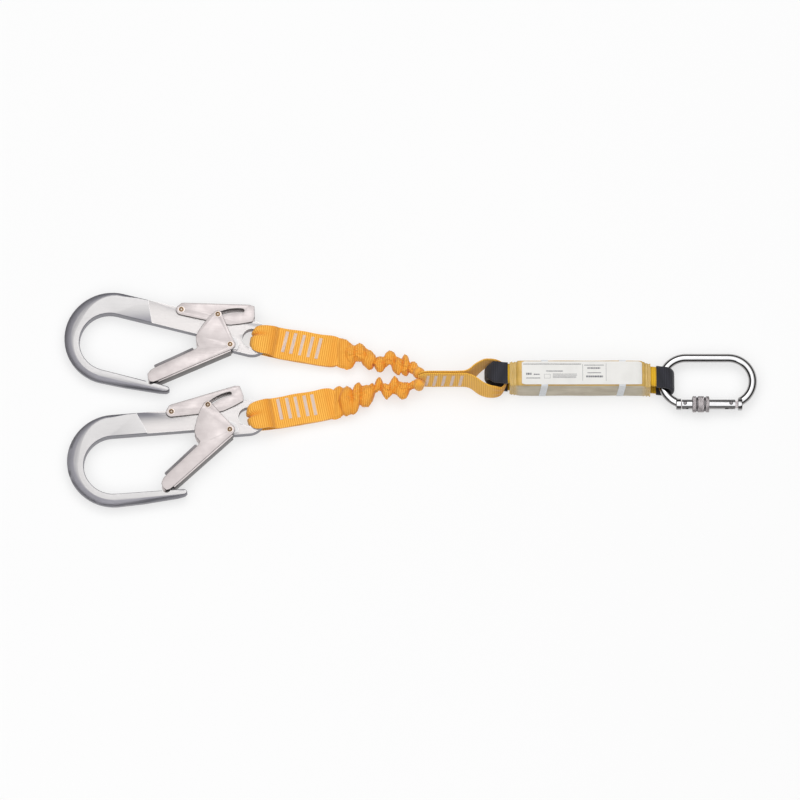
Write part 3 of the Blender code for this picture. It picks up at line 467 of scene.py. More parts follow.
def ribbon(rows, thickness, columns=17, shape=None, step=RIB_PITCH / ROWS_PER_RIB, ribs=RIB_HEIGHT):
    """Webbing along rows (x, y, z, half width, side x, side y, side z): ribs across, round edges."""
    path = spline(rows, step)
    length, centre, half = path[:, 0], path[:, 1:4], path[:, 4]
    side = path[:, 5:8] / np.linalg.norm(path[:, 5:8], axis=1)[:, None]
    tangent = np.gradient(centre, axis=0)
    normal = np.cross(tangent, side)
    normal /= np.linalg.norm(normal, axis=1)[:, None]
    across = np.sin(np.linspace(-math.pi / 2, math.pi / 2, columns)) * 0.5
    across = across + np.linspace(-1, 1, columns) * 0.5
    along, over = np.meshgrid(length, across, indexing="ij")
    middle = centre[:, None, :] + side[:, None, :] * (half[:, None] * over)[:, :, None]
    # fold carries the painted shade in folds, which a shape returns; there is none without a shape.
    fold = np.zeros_like(along)
    if shape is not None:
        middle, fold = shape(along, over, middle, path)
    body = thickness / 2 * (1 - 0.45 * np.abs(over) ** 10)
    rib = ribs * np.sin(along * 2 * math.pi / RIB_PITCH) * (1 - np.abs(over) ** 12)
    lift = normal[:, None, :] * (body + rib)[:, :, None]
    drop = normal[:, None, :] * (body - rib * 0.9)[:, :, None]
    cloth = np.stack([along, over * half[:, None], fold], axis=2)
    return slab(middle + lift, middle - drop, cloth)


def tack(centre, width, along, up, lean=0.0, long=24.0, wide=3.6):
    """A bar tack: threads side by side, laid across a width direction."""
    centre, width, along, up = (np.array(item, float) for item in (centre, width, along, up))
    count = int(long / THREAD_PITCH * 4)
    u, v = np.meshgrid(np.linspace(-long / 2, long / 2, count), np.linspace(-1, 1, 7),
                       indexing="ij")
    strand = 0.5 + 0.5 * np.sin(u * 2 * math.pi / THREAD_PITCH)
    ragged = 1 + 0.05 * np.sin(u * 5.1) + 0.04 * np.sin(u * 2.3 + 1)
    flat = (centre + u[..., None] * width
            + (v * wide / 2 * ragged + u * lean)[..., None] * along)
    height = (0.24 + 0.26 * strand) * (1 - v ** 4) + 0.02
    cloth = np.stack([v * wide / 2, u, np.zeros_like(u)], axis=2)
    return slab(flat + height[..., None] * up, flat - 0.25 * up, cloth)


def arc(x, z, radius, start, end, steps):
    angles = np.radians(np.linspace(start, end, steps + 1))
    return [(x + radius * math.cos(angle), z + radius * math.sin(angle)) for angle in angles]


def placed(x, y, turn):
    """A place in the hooks' middle plane, turned about its upright axis."""
    spot = Matrix.Translation((x * MM, y * MM, HOOK_Z * MM))
    return spot @ Matrix.Rotation(math.radians(turn), 4, "Z")


# ---------------------------------------------------------------- legs
CREASE = {"a": 0.40, "b": 0.14}
TACK_PLACES = {
    "a": ((21.9, 2.0), (31.0, 1.7), (40.6, 1.4), (50.2, 1.0), (59.4, 0.6)),
    "b": ((20.8, 3.3), (30.6, 2.8), (39.8, 2.4), (50.0, 1.9), (58.6, 1.5)),
}
TOP_PLY_START = 12.2
FLAT_END = 87.0
PLY_WAVE = 0.12
TOP_PLY_HEIGHT, TOP_PLY = 2.8, 1.4


def sewn_height(along):
    return -3.4 * min(max((along - 6.0) / 40.0, 0.0), 1.0)


def eye_shape(tag):
    """Two lobes and a crease where the webbing is bunched over the hook's rim, with painted shade in the
    crease, just before the top ply's edge and at its shoulder.
    """
    def shape(along, over, middle, path):
        x = middle[:, :, 0]
        face = path[:, 8][:, None]
        bunch = 1 - ease(-9.0, 9.0, x)
        crease = np.exp(-((over - CREASE[tag]) / 0.16) ** 2)
        droop = np.abs(over) ** 3
        dip = face * bunch * (2.4 * crease + 1.3 * droop * (1 - ease(-2, 10, x)))
        middle[:, :, 2] -= dip
        middle[:, :, 0] += bunch * ease(2.0, -10.0, x) * (3.4 * crease + 0.7 * droop)
        roll = 0.45 * np.sin(along * 0.33 + over * 1.9) * (1 - bunch)
        middle[:, :, 2] += 0.35 * roll
        # Painted shade: a band under the top ply's shoulder, a patch just before its edge, and the crease.
        band = np.exp(-((x - 77.0) / 3.0) ** 2) * 0.35
        shadow = 0.75 * crease * bunch + 0.55 * np.exp(-((x - 8.0) / 4.0) ** 2) + band
        return middle, np.clip(shadow, 0, 1) * 0.8
    return shape


def leg_end(tag):
    """The flat sewn end, which passes through the hook's eye and back."""
    place = placed(*LEG_STARTS[tag])
    top = [(FLAT_END, 1.15, 9.0), (84.5, 1.15, 12.6), (81.0, 1.15, 15.6), (76.0, 1.15, 17.3),
           (46.0, 1.15, 17.6), (18.0, 1.15, 17.5), (13.0, 2.9, 17.2), (8.5, 6.8, 16.8),
           (3.0, 8.5, 16.3), (-3.0, 8.7, 15.9), (-8.0, 8.5, 15.1), (-12.0, 7.5, 13.4),
           (-14.6, 5.0, 10.4), (-15.5, 1.5, 8.6)]
    rows = [(s, 0.0, z + sewn_height(s), w, 0, 1, 0, 1.0) for s, z, w in top]
    rows += [(s, 0.0, sewn_height(s) - z, w - 0.25 * z, 0, 1, 0, -1.0) for s, z, w in reversed(top)]
    loop = build(f"leg_{tag}_eye_webbing", [ribbon(rows, 1.9, 25, eye_shape(tag))], ORANGE, place)
    fit(loop, nodes=[f"leg_{tag}_end_loop"])
    return loop, place


def top_ply(tag, place):
    """The leg's own end, sewn over the loop, and the bar tacks through all plies."""
    line = [(TOP_PLY_START, 3.1), (18.0, 2.85), (30.0, TOP_PLY_HEIGHT), (60.0, TOP_PLY_HEIGHT),
            (76.0, TOP_PLY_HEIGHT), (81.0, 2.7), (84.5, 2.5), (FLAT_END, 2.2)]
    widths = (17.3, 17.6, 17.6, 17.6, 17.4, 15.7, 12.7, 9.0)
    rows = [(s, 0.0, z + sewn_height(s), w, 0, 1, 0) for (s, z), w in zip(line, widths)]

    def shape(along, over, middle, path):
        x = middle[:, :, 0]
        middle[:, :, 2] += PLY_WAVE * np.sin(x * 0.21 + over * 1.4)
        middle[:, :, 2] -= 0.7 * np.exp(-((x - 76) / 3.2) ** 2)
        middle[:, :, 1] += 0.35 * np.sin(x * 0.17 + 1.0) * np.abs(over)
        shade = 0.30 * np.exp(-((x - 76.0) / 4.5) ** 2) + 0.2 * ease(78, 88, x)
        return middle, shade

    ply = build(f"leg_{tag}_top_ply", [ribbon(rows, TOP_PLY, 25, shape)], ORANGE, place)
    fit(ply, f"leg_{tag}_end")
    parts = []
    for s, t in TACK_PLACES[tag]:
        lean = 0.09 if tag == "a" else 0.0
        surface = sewn_height(s) + TOP_PLY_HEIGHT + TOP_PLY / 2 + RIB_HEIGHT + PLY_WAVE
        parts.append(tack((s, t, surface), (0, 1, 0), (1, 0, 0), (0, 0, 1), lean))
        parts.append(tack((s, t, sewn_height(s) - 2.15), (0, 1, 0), (1, 0, 0), (0, 0, -1), lean))
    fit(build(f"leg_{tag}_tacks", parts, TACK, place), f"leg_{tag}_end")


GATHER_ROWS, GATHER_AROUND = 240, 56
# x and y along the middle of each gathered leg
GATHER_LINES = {
    "a": ((-271.5, 34.3), (-262.0, 32.8), (-253, 30.2), (-242, 31.0), (-231, 24.5), (-220, 18.5),
          (-209, 24.0), (-198, 16.0), (-191, 14.5), (-184, 12.5), (-177.0, 9.0)),
    "b": ((-274.5, -26.0), (-266.0, -24.3), (-253, -22.0), (-244, -17.5), (-233, -18.0), (-221, -6.0),
          (-212, -12.0), (-203, -7.0), (-195, -11.5), (-184, -6.5), (-177.0, -5.4)),
}
# fold: top x, top y, top half length, bottom x, bottom y, bottom half length
FOLDS = {
    "a": ((-261.0, 49.6, 11.5, -259.5, 13.8, 12.5), (-252.0, 41.0, 6.0, -252.5, 18.5, 6.0),
          (-241.5, 43.2, 7.8, -243.5, 22.0, 7.0), (-230.0, 34.2, 6.8, -233.5, 12.8, 6.6),
          (-220.0, 27.6, 4.8, -220.5, 8.8, 6.4), (-209.0, 34.6, 8.0, -210.5, 16.4, 5.5),
          (-197.8, 25.0, 4.4, -201.8, 5.4, 5.4), (-191.4, 29.2, 4.0, -192.5, 4.2, 4.2),
          (-181.5, 20.6, 6.8, -183.5, 6.2, 7.0)),
    "b": ((-266.0, -5.6, 8.0, -267.5, -43.6, 9.5), (-258.0, -6.4, 7.0, -256.0, -40.4, 8.5),
          (-244.5, -1.8, 5.4, -247.5, -38.6, 5.2), (-234.0, -5.4, 8.2, -234.5, -30.8, 9.5),
          (-221.5, 3.4, 5.0, -223.0, -13.4, 4.4), (-212.5, -4.4, 5.0, -213.0, -22.0, 6.8),
          (-204.0, 4.4, 5.2, -206.5, -12.5, 4.2), (-194.5, -3.0, 6.6, -196.5, -23.0, 9.2),
          (-182.5, -0.6, 7.0, -182.5, -9.8, 8.0)),
}


def leg_height(x, line):
    share = np.clip((x - line[0][0]) / (line[-1][0] - line[0][0]), 0.0, 1.0)
    sewn = 1 - ease(line[0][0], line[0][0] + 13.0, x)
    return 8.2 + 7.2 * share - 2.0 * sewn


def fold_height(index, reach_top, reach_bottom):
    """Half the height of a fold: the first one is nearly flat, beside the sewn end."""
    return 4.6 if index == 0 else min(max(0.60 * (reach_top + reach_bottom) / 2, 5.4), 8.6)


def folded_tube(tag, x, centre_y, grid_x, theta):
    """The tube's radius, its nearness to a fold's crest (0 to 1), and the middle of that fold."""
    towards = (1 + np.cos(theta)) / 2
    radius = np.full(grid_x.shape, 3.9)
    crest = np.zeros(grid_x.shape)
    shift = np.zeros(grid_x.shape)
    for index, (top_x, top_y, top_half, low_x, low_y, low_half) in enumerate(FOLDS[tag]):
        reach_top = top_y - np.interp(top_x, x, centre_y)
        reach_bottom = np.interp(low_x, x, centre_y) - low_y
        height = fold_height(index, reach_top, reach_bottom)
        reach = np.where(np.cos(theta) > 0, reach_top, reach_bottom)
        ring = 1 / np.sqrt((np.cos(theta) / reach) ** 2 + (np.sin(theta) / height) ** 2)
        wobble = 0.9 * np.sin(theta * 2 + index * 1.7)
        middle = low_x + (top_x - low_x) * towards + wobble
        away = (grid_x - middle) / (low_half + (top_half - low_half) * towards)
        profile = np.sqrt(np.clip(1 - away ** 2, 0, 1))
        grown = ring * (0.42 + 0.58 * profile ** 0.9) * (np.abs(away) < 1)
        nearer = grown > radius
        shift = np.where(nearer, middle, shift)
        crest = np.where(nearer, profile, crest)
        radius = np.maximum(radius, grown)
    for _ in range(2):
        for grid in (radius, crest):
            grid[1:-1] = 0.25 * grid[:-2] + 0.5 * grid[1:-1] + 0.25 * grid[2:]
    return radius, crest, shift


def wrinkles(x, angle):
    """Creases from two scales of noise, at each place along and round the tube."""
    found = np.zeros((len(x), len(angle)))
    for row, along in enumerate(x):
        for column, turn in enumerate(angle):
            spot = Vector((along * 0.16, math.cos(turn) * 1.3, math.sin(turn) * 1.3))
            found[row, column] = abs(noise.noise(spot)) + 0.6 * abs(noise.noise(spot * 2.3))
    return found


def gather(tag):
    """The elastic part: fabric puffed into leaning folds round a core, and the elastic cord inside."""
    line = np.array(GATHER_LINES[tag])
    start, end = line[0, 0], line[-1, 0]
    x = np.linspace(start, end, GATHER_ROWS)
    smooth = spline([(px, py, 0.0) for px, py in line], 0.5)
    centre_y = np.interp(x, smooth[:, 1], smooth[:, 2])
    centre_z = leg_height(x, line)
    angle = np.linspace(0, 2 * math.pi, GATHER_AROUND, endpoint=False)
    grid_x, theta = np.meshgrid(x, angle, indexing="ij")
    radius, crest, shift = folded_tube(tag, x, centre_y, grid_x, theta)
    along = grid_x - 0.6 * shift
    wrinkle = wrinkles(x, angle)
    open_fold = ease(start, start + 9.0, grid_x)
    creased = (0.6 - 2.6 * wrinkle) * ease(start + 4.0, start + 20.0, grid_x)
    radius = radius + creased + RIB_HEIGHT * np.sin(along * 2 * math.pi / RIB_PITCH)
    radius *= 1 - 0.35 * ease(end - 4.0, end, grid_x)
    flatten = 0.30 + 0.70 * open_fold
    ridge = np.clip(1 - 5.0 * wrinkle, 0, 1)
    # depth is painted shade: darkest between the folds and in the wrinkle creases, fainter at the start.
    depth = np.clip(1.5 * (1 - crest) ** 1.15 + 0.35 * (1 - ridge) * open_fold, 0, 1)
    depth = depth * (0.3 + 0.7 * open_fold)
    cloth = np.stack([along, theta / (2 * math.pi) * 40.0, depth], axis=2)

    def round_centre(across, upright):
        return tube(np.stack([grid_x, centre_y[:, None] + across * np.cos(theta),
                              centre_z[:, None] + upright], axis=2), cloth)

    web = round_centre(radius, radius * np.sin(theta) * flatten)
    piece = build(f"leg_{tag}_gathered_webbing", [web], ORANGE, sharp=60)
    fit(piece, nodes=[f"leg_{tag}_gather"])
    cord = 1.9 * flatten * (1 - 0.6 * ease(end - 9.0, end, grid_x))
    core = build(f"leg_{tag}_elastic_cord", [round_centre(cord, cord * np.sin(theta))], RUBBER, sharp=60)
    fit(core, nodes=[f"leg_{tag}_core"])
    for fabric in (piece, core):
        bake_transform(fabric)


# Each knuckle is centred on its leg's swing axis, so the gather turns inside it without a gap.
LEG_PIVOTS = {"a": (-177.5, 7.4, 15.5), "b": (-177.5, -6.2, 15.5)}
KNUCKLE_RADIUS = 6.6
KNUCKLE_HALF_HEIGHT = 9.0


def root_knuckle(tag):
    """The bunched fabric where the gathered leg goes under the stem's stitching."""
    x, y, z = LEG_PIVOTS[tag]
    turns = np.linspace(0, 2 * math.pi, GATHER_AROUND, endpoint=False)
    height, theta = np.meshgrid(np.linspace(-0.97, 0.97, 40), turns, indexing="ij")
    radius = KNUCKLE_RADIUS * np.sqrt(1 - height ** 2)
    radius = radius * (1 + 0.05 * np.sin(3 * theta + 4 * height)) + 0.1 * np.sin(theta * 18)
    rings = np.stack([x + radius * np.cos(theta), y + radius * np.sin(theta),
                      z + KNUCKLE_HALF_HEIGHT * height], axis=2)
    # Painted shade in the valleys of the bunched fabric.
    fold = 0.35 * (1 - np.sin(3 * theta + 4 * height)) / 2
    cloth = np.stack([theta * KNUCKLE_RADIUS, height * KNUCKLE_HALF_HEIGHT, fold], axis=2)
    knuckle = build(f"leg_{tag}_root_fold", [tube(rings, cloth)], ORANGE, sharp=60)
    fit(knuckle, "stem")


for leg in "ab":
    root_knuckle(leg)
    eye, leg_place = leg_end(leg)
    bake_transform(eye)
    top_ply(leg, leg_place)
    gather(leg)


# ---------------------------------------------------------------- stem
STEM_MIDDLE = 16.3
STEM_LEAN = 0.17
# x, y, half width, middle height and lean: along the front ply, round the eye, back along the rear ply
STEM_LINE = (
    (-178.0, -0.75, 10.5, 16.3, 0.17), (-174.0, -0.75, 13.8, 16.3, 0.17),
    (-169.0, -0.78, 15.7, 16.3, 0.17), (-162, -0.8, 16.0, 16.3, 0.17),
    (-150, -0.7, 16.0, 16.3, 0.17), (-136, -0.7, 16.0, 16.3, 0.17),
    (-125, -1.0, 16.0, 16.3, 0.18), (-119, -3.0, 16.0, 16.2, 0.2),
    (-113, -7.2, 15.5, 15.8, 0.24), (-107, -11.0, 14.5, 15.2, 0.26),
    (-100, -13.2, 13.6, 14.4, 0.26), (-93, -13.4, 12.0, 13.4, 0.22), (-87, -12.2, 8.6, 12.0, 0.12),
    (-83.0, -7.2, 5.4, 11.45, 0.0), (-80.6, 0.0, 4.7, 11.45, 0.0), (-79.8, 6.0, 4.7, 11.45, 0.0),
    (-80.4, 11.5, 4.7, 11.45, 0.0), (-82.5, 15.8, 4.9, 11.45, 0.0),
    (-87, 18.9, 6.2, 11.45, 0.0), (-93, 19.8, 9.0, 12.6, 0.06), (-100, 19.4, 12.0, 13.8, 0.1),
    (-105, 18.0, 13.8, 14.8, 0.12), (-110.5, 14.4, 15.0, 15.6, 0.14), (-116, 9.4, 16.0, 16.1, 0.17),
    (-121, 4.9, 16.0, 16.3, 0.17), (-126, 2.6, 16.0, 16.3, 0.17), (-136, 1.75, 16.0, 16.3, 0.17),
    (-150, 1.7, 16.0, 16.3, 0.17), (-162, 1.7, 16.0, 16.3, 0.17),
    (-169.0, 1.7, 15.7, 16.3, 0.17), (-174.0, 1.7, 13.8, 16.3, 0.17), (-178.0, 1.7, 10.5, 16.3, 0.17),
)
STEM_TACKS = (-168.0, -159.5, -150.0, -140.5, -131.0)


def stem():
    """The two sewn plies on edge, opening into the eye round the pack's loop."""
    rows = [(x, y, z, w, 0.0, lean, 1.0) for x, y, w, z, lean in STEM_LINE]

    def shape(along, over, middle, path):
        x = middle[:, :, 0]
        bunch = ease(-100.0, -88.0, x)
        middle[:, :, 1] += 0.4 * np.sin(along * 0.19 + over * 1.2) * ease(-128.0, -112.0, x)
        middle[:, :, 1] += 0.5 * bunch * np.sin(over * 7.0)
        # Painted shade where the plies bunch towards the eye.
        return middle, 0.35 * bunch + 0.25 * bunch * np.sin(over * 7.0) ** 2

    loop = build("stem_eye_webbing", [ribbon(rows, 2.0, 25, shape)], STEM_WEB_SHADED)
    fit(loop, "stem", ["eye_loop"])
    parts = []
    up = np.array((0.0, STEM_LEAN, 1.0)) / np.linalg.norm((STEM_LEAN, 1.0))
    out = np.array((0.0, 1.0, -STEM_LEAN)) / np.linalg.norm((1.0, STEM_LEAN))
    for x in STEM_TACKS:
        for y, facing in ((-0.72, -1), (1.7, 1)):
            centre = np.array((x, y, STEM_MIDDLE)) + out * facing * 1.1
            parts.append(tack(centre, up, (1, 0, 0), out * facing, lean=0.12, long=23.5, wide=3.4))
    fit(build("stem_tacks", parts, TACK), "stem")


stem()

# ---------------------------------------------------------------- pack
PACK_BASE = 0.85
PLY = 2.0
LEVELS = 10
PLY_PITCH = 2.6
LEAN = 0.146
SWERVE = 0.10
LOOP_RADIUS = 9.6
PACK_HALF = 71.5
PACK_HALF_WIDTH = 14.4
FILM_CORNER = 1.5
TAPE_SLANT = 0.1
PACK_TOP = 2 * PACK_BASE + PLY + (LEVELS - 1) * PLY_PITCH
LOOPS = {"left": (-1, 93.5, 1.0), "right": (1, 92.3, 0.3)}


def stack_height(level):
    return PACK_BASE + PLY / 2 + level * PLY_PITCH


def lean_with_pack(points):
    """The pack leans sideways with height, and its loops drift further outside it."""
    outside = np.maximum(0.0, np.abs(points[..., 0]) - PACK_HALF + 6.0)
    points[..., 1] += LEAN * points[..., 2] - np.sign(points[..., 0]) * SWERVE * outside
    return points


def leaning(part):
    points, faces, cloth = part
    return lean_with_pack(points), faces, cloth


def tear_stack():
    path = [(-58.0, stack_height(1))]
    for level in range(1, LEVELS - 2):
        side = 1 if level % 2 else -1
        middle = (stack_height(level) + stack_height(level + 1)) / 2
        path += [(side * 40.0, stack_height(level)), (side * 55.0, stack_height(level))]
        path += [(side * (58.0 + x), middle + z) for x, z in arc(0, 0, PLY_PITCH / 2, -90, 90, 6)]
        path += [(side * 55.0, stack_height(level + 1)), (side * 40.0, stack_height(level + 1))]
    path.append((56.8, stack_height(LEVELS - 2)))
    rows = [(x, 0.0, z, 12.6, 0, 1, 0) for x, z in path]
    stack = build("tear_stack", [leaning(ribbon(rows, 1.8, 7, step=1.7, ribs=0.0))], GOLD)
    fit(stack, "absorber", ["tear_webbing"])


def loop_width(name, x):
    """Share of the full width: the left loop is squeezed narrow towards its bight."""
    return 1 - 0.55 * float(ease(93.0, 106.0, x)) if name == "left" else 1.0


def pack_loop(name):
    """Webbing from the stack round the bight, without its black wear sleeve, which wear_sleeve builds."""
    side, centre_x, centre_y = LOOPS[name]
    top, bottom = stack_height(LEVELS - 1), stack_height(0)
    middle = bottom + LOOP_RADIUS
    high = bottom + 2 * LOOP_RADIUS
    path = [(6.0, top), (30.0, top), (58.0, top)]
    for share in np.linspace(0, 1, 7):
        path.append((62.0 + share * 11.0, top + float(ease(0, 1, share)) * (high - top)))
    path += [(78.0, high)] + arc(centre_x, middle, LOOP_RADIUS, 90, -90, 16)
    path += [(78.0, bottom), (60.0, bottom), (30.0, bottom), (6.0, bottom)]
    rows = [(side * x, centre_y, z, 11.0 * loop_width(name, x), 0, 1, 0) for x, z in path]

    def shape(along, over, middle_points, row):
        x = np.abs(middle_points[:, :, 0])
        outside = ease(66.0, 76.0, x)
        face = np.sign(middle_points[:, :, 2] - middle)
        middle_points[:, :, 2] -= face * outside * 0.5 * np.abs(over) ** 2
        # Painted shade towards the strap's edges outside the pack.
        return middle_points, 0.35 * outside * np.abs(over) ** 3

    loop = build(f"{name}_loop_strap", [leaning(ribbon(rows, 1.9, 15, shape))], GOLD)
    fit(loop, "absorber", [f"{name}_loop_webbing"])


def sleeve_part(name, mouth, thickness, radial):
    side, centre_x, centre_y = LOOPS[name]
    middle = stack_height(0) + LOOP_RADIUS
    path = [(mouth, middle + LOOP_RADIUS), ((mouth + centre_x) / 2, middle + LOOP_RADIUS)]
    path += arc(centre_x, middle, LOOP_RADIUS, 90, -90, 16)
    path += [((mouth + centre_x) / 2, middle - LOOP_RADIUS), (mouth, middle - LOOP_RADIUS)]
    rows = [(side * x, centre_y, z, 11.9 * loop_width(name, x), 0, 1, 0) for x, z in path]

    def shape(along, over, middle_points, row):
        middle_points[:, :, 2] += 0.18 * np.sin(along * 0.45 + over * 2.2)
        # Painted shade that follows the sleeve's wrinkles.
        return middle_points, 0.2 + 0.2 * np.sin(along * 0.45 + over * 2.2)

    return leaning(ribbon(rows, thickness, 25, shape, ribs=radial))


def wear_sleeve(name, mouth):
    sleeve = build(f"{name}_wear_sleeve", [sleeve_part(name, mouth, 4.0, 0.09)], SLEEVE)
    fit(sleeve, "absorber", [f"{name}_loop_sleeve"])


def rounded_ring(half_y, top):
    """The film's rounded rectangle in Y-Z as points, evenly filled along its sides."""
    per_corner, flats = 5, 10
    anchors = []
    for sign_y, centre_z, start in ((1, top - FILM_CORNER, 0), (-1, top - FILM_CORNER, 90),
                                    (-1, FILM_CORNER, 180), (1, FILM_CORNER, 270)):
        centre_y = sign_y * (half_y - FILM_CORNER)
        anchors.append(arc(centre_y, centre_z, FILM_CORNER, start, start + 90, per_corner))
    ring = []
    for current, following in zip(anchors, anchors[1:] + anchors[:1]):
        ring += current
        (y0, z0), (y1, z1) = current[-1], following[0]
        for share in np.linspace(0, 1, flats + 2)[1:-1]:
            ring.append((y0 + (y1 - y0) * share, z0 + (z1 - z0) * share))
    return np.array(ring)


def film_ring(x):
    """The film's outside, inside and cloth values at x: full over the stack, drawn in at the necks."""
    neck_top = stack_height(0) + 2 * LOOP_RADIUS + PLY / 2 + 1.2
    neck_start = 71.5 if x < 0 else 73.0
    full = float(np.interp(abs(x), (64.0, 67.5, neck_start, 76.0), (1.0, 0.8, 0.2, 0.0)))
    full = full * full * (3 - 2 * full)
    pull = 1 - full
    top = neck_top + (PACK_TOP - neck_top) * full
    ring = rounded_ring(PACK_HALF_WIDTH - 0.7 * pull, top)
    angle = np.arctan2(ring[:, 1] - top / 2, ring[:, 0])
    crinkle = 0.28 * pull * np.sin(angle * 7 + 1.3 * math.sin(x * 0.9))
    crinkle += 0.12 * np.sin(angle * 5 + x * 0.11) * full
    pinch = 0.45 * pull * math.sin(x * 1.9)
    direction = np.stack([np.cos(angle), np.sin(angle)], axis=1)
    grown = ring + direction * (0.25 + crinkle + pinch)[:, None]
    grown[:, 1] = np.maximum(grown[:, 1], 0.0)
    shell = grown - direction * 0.35
    return ([(x, y, z) for y, z in grown], [(x, y, z) for y, z in shell],
            [(x, y, pull) for y, z in ring])


def film_cover():
    """Clear film shrunk round the pack: sharp folds at the necks, faint ones along the sides."""
    stations = np.concatenate([np.linspace(-77.4, -64.0, 28), np.linspace(-62.0, 62.0, 50),
                               np.linspace(63.5, 77.4, 30)])
    outer, inner, cloth = (np.array(grid) for grid in zip(*[film_ring(x) for x in stations]))
    rows, columns = outer.shape[:2]
    count = rows * columns
    faces = grid_faces(rows, columns, 0, closed=True)
    faces += grid_faces(rows, columns, count, flip=True, closed=True)
    for row in (0, rows - 1):
        for column in range(columns):
            near, far = row * columns + column, row * columns + (column + 1) % columns
            faces.append((near, far, far + count, near + count))
    points = np.concatenate([outer.reshape(-1, 3), inner.reshape(-1, 3)])
    part = (lean_with_pack(points), faces, np.concatenate([cloth.reshape(-1, 3)] * 2))
    cover = build("shrunk_cover", [part], FILM, sharp=60)
    fit(cover, "absorber", ["clear_cover"])


def flat_print(x0, x1, y0, y1, height):
    """A thin rectangle of ink lying on the label."""
    x, y = np.meshgrid((x0, x1), (y0, y1), indexing="ij")
    top = np.stack([x, y, np.full_like(x, height)], axis=2)
    bottom = np.stack([x, y, np.full_like(x, height - 0.1)], axis=2)
    return leaning(slab(top, bottom, np.zeros_like(top)))


LABEL_Z = PACK_TOP + 0.95
PRINT_LIFT = 0.22


def label_height(x, y):
    return LABEL_Z + 0.05 * np.sin(x * 0.12) + 0.04 * np.sin(y * 0.5 + x * 0.05)


def label_sheet():
    """The white label, with its right end turned down over the pack."""
    x, y = np.meshgrid(np.linspace(-64.0, 68.0, 60), np.linspace(-13.6, 12.9, 14), indexing="ij")
    corner = np.clip((np.abs(x - 2.0) - 62.0) / 4.0, 0, 1)
    y = y * (1 - 0.10 * corner ** 2)
    drop = -1.3 * np.clip((x - 64.0) / 4.0, 0, 1) ** 2
    z = label_height(x, y) + drop
    top = np.stack([x, y, z + 0.12], axis=2)
    bottom = np.stack([x, y, z - 0.12], axis=2)
    sheet = build("label_face", [leaning(slab(top, bottom, np.zeros_like(top)))], PAPER)
    fit(sheet, "absorber", ["label"])


PRINTED_LINES = (
    (-62.5, 1.0, 9.6, 0.9), (-59.5, -53.5, -1.6, 2.4), (-51.0, -44.5, -2.2, 1.3),
    (-59.5, -44.0, -6.4, 1.0), (-37.5, -19.0, 1.6, 1.1),
)
PRINTED_TABLE = ((4.5, 26.0, 8.4, 0.8), (8.0, 22.0, 5.0, 1.7), (8.0, 23.0, -0.4, 0.9),
                 (6.5, 25.0, -4.6, 2.1))
PRINTED_RULES = (
    (2.6, 2.95, -9.6, 9.6), (28.3, 28.65, -9.9, 10.4), (-39.6, -39.35, -6.6, -2.0),
    (-33.0, -32.75, -6.6, -2.0), (-39.6, -32.8, -6.7, -6.45), (-39.6, -32.8, -2.2, -1.95),
)


def printed_line(draw, x0, x1, y_middle, tall):
    """A row of small dashes of uneven length, standing for a printed line."""
    dashes, here = [], x0
    while here < x1:
        long = min(draw.uniform(0.7, 2.4) * max(tall, 0.9) * 0.55, x1 - here)
        height = label_height(here, y_middle) + PRINT_LIFT
        dashes.append(flat_print(here, here + long, y_middle - tall / 2, y_middle + tall / 2, height))
        here += long + 0.32 * max(tall, 0.9) * 0.6
    return dashes


def label_printing():
    """Generic bars, with no lettering: heading and small print, a table, ruled lines and a box."""
    draw = random.Random(7)
    parts = []
    for line in PRINTED_LINES:
        parts += printed_line(draw, *line)
    for row in range(4):
        parts += printed_line(draw, -30.0, -2.0 - draw.uniform(0, 3), -1.8 - row * 1.35, 0.55)
    for line in PRINTED_TABLE:
        parts += printed_line(draw, *line)
    for x0, x1, y0, y1 in PRINTED_RULES:
        parts.append(flat_print(x0, x1, y0, y1, label_height(x0, y0) + PRINT_LIFT))
    fit(build("label_printing", parts, INK, wave=False), "absorber")


def tape_band(name, x, node):
    """Clear tape round the pack's top and sides."""
    half, top = PACK_HALF_WIDTH + 0.75, PACK_TOP + 0.50
    line = [(-half, 2.0), (-half, 9.0), (-half, 18.0), (-half, top - 2.0), (-half + 0.35, top - 0.5),
            (-half + 1.8, top), (-7.0, top + 0.1), (0.0, top + 0.1), (7.0, top + 0.1),
            (half - 1.8, top), (half - 0.35, top - 0.5), (half, top - 2.0), (half, 18.0),
            (half, 9.0), (half, 2.0)]
    rows = [(x + TAPE_SLANT * (z - top), y, z, 3.7, 1, 0, 0) for y, z in line]
    band = build(name, [leaning(ribbon(rows, 0.28, 7, step=1.0, ribs=0.02))], TAPE)
    fit(band, "absorber", [node])


tear_stack()
for loop_name, sleeve_mouth in (("left", 79.5), ("right", 83.8)):
    pack_loop(loop_name)
    wear_sleeve(loop_name, sleeve_mouth)
film_cover()
label_sheet()
label_printing()
tape_band("tape_left", -39.0, "band_left")
tape_band("tape_right", 46.5, "band_right")


# ---------------------------------------------------------------- CAD nodes that show
FINISHES = {
    "carabiner_gate": CHROME, "carabiner_hinge_pin": TURNED, "carabiner_latch_pin": TURNED,
    "carabiner_plunger": TURNED, "carabiner_spring": SPRING,
}
for hook in "ab":
    for coil in ("gate_spring", "lever_spring"):
        FINISHES[f"hook_{hook}_{coil}"] = SPRING
for node_name, finish in FINISHES.items():
    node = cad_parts[node_name]
    if not node.material_slots:
        node.data.materials.append(finish)
    for material_slot in node.material_slots:
        material_slot.material = finish


# ---------------------------------------------------------------- hooks
WELD = 0.001
BOW_END = -101.0


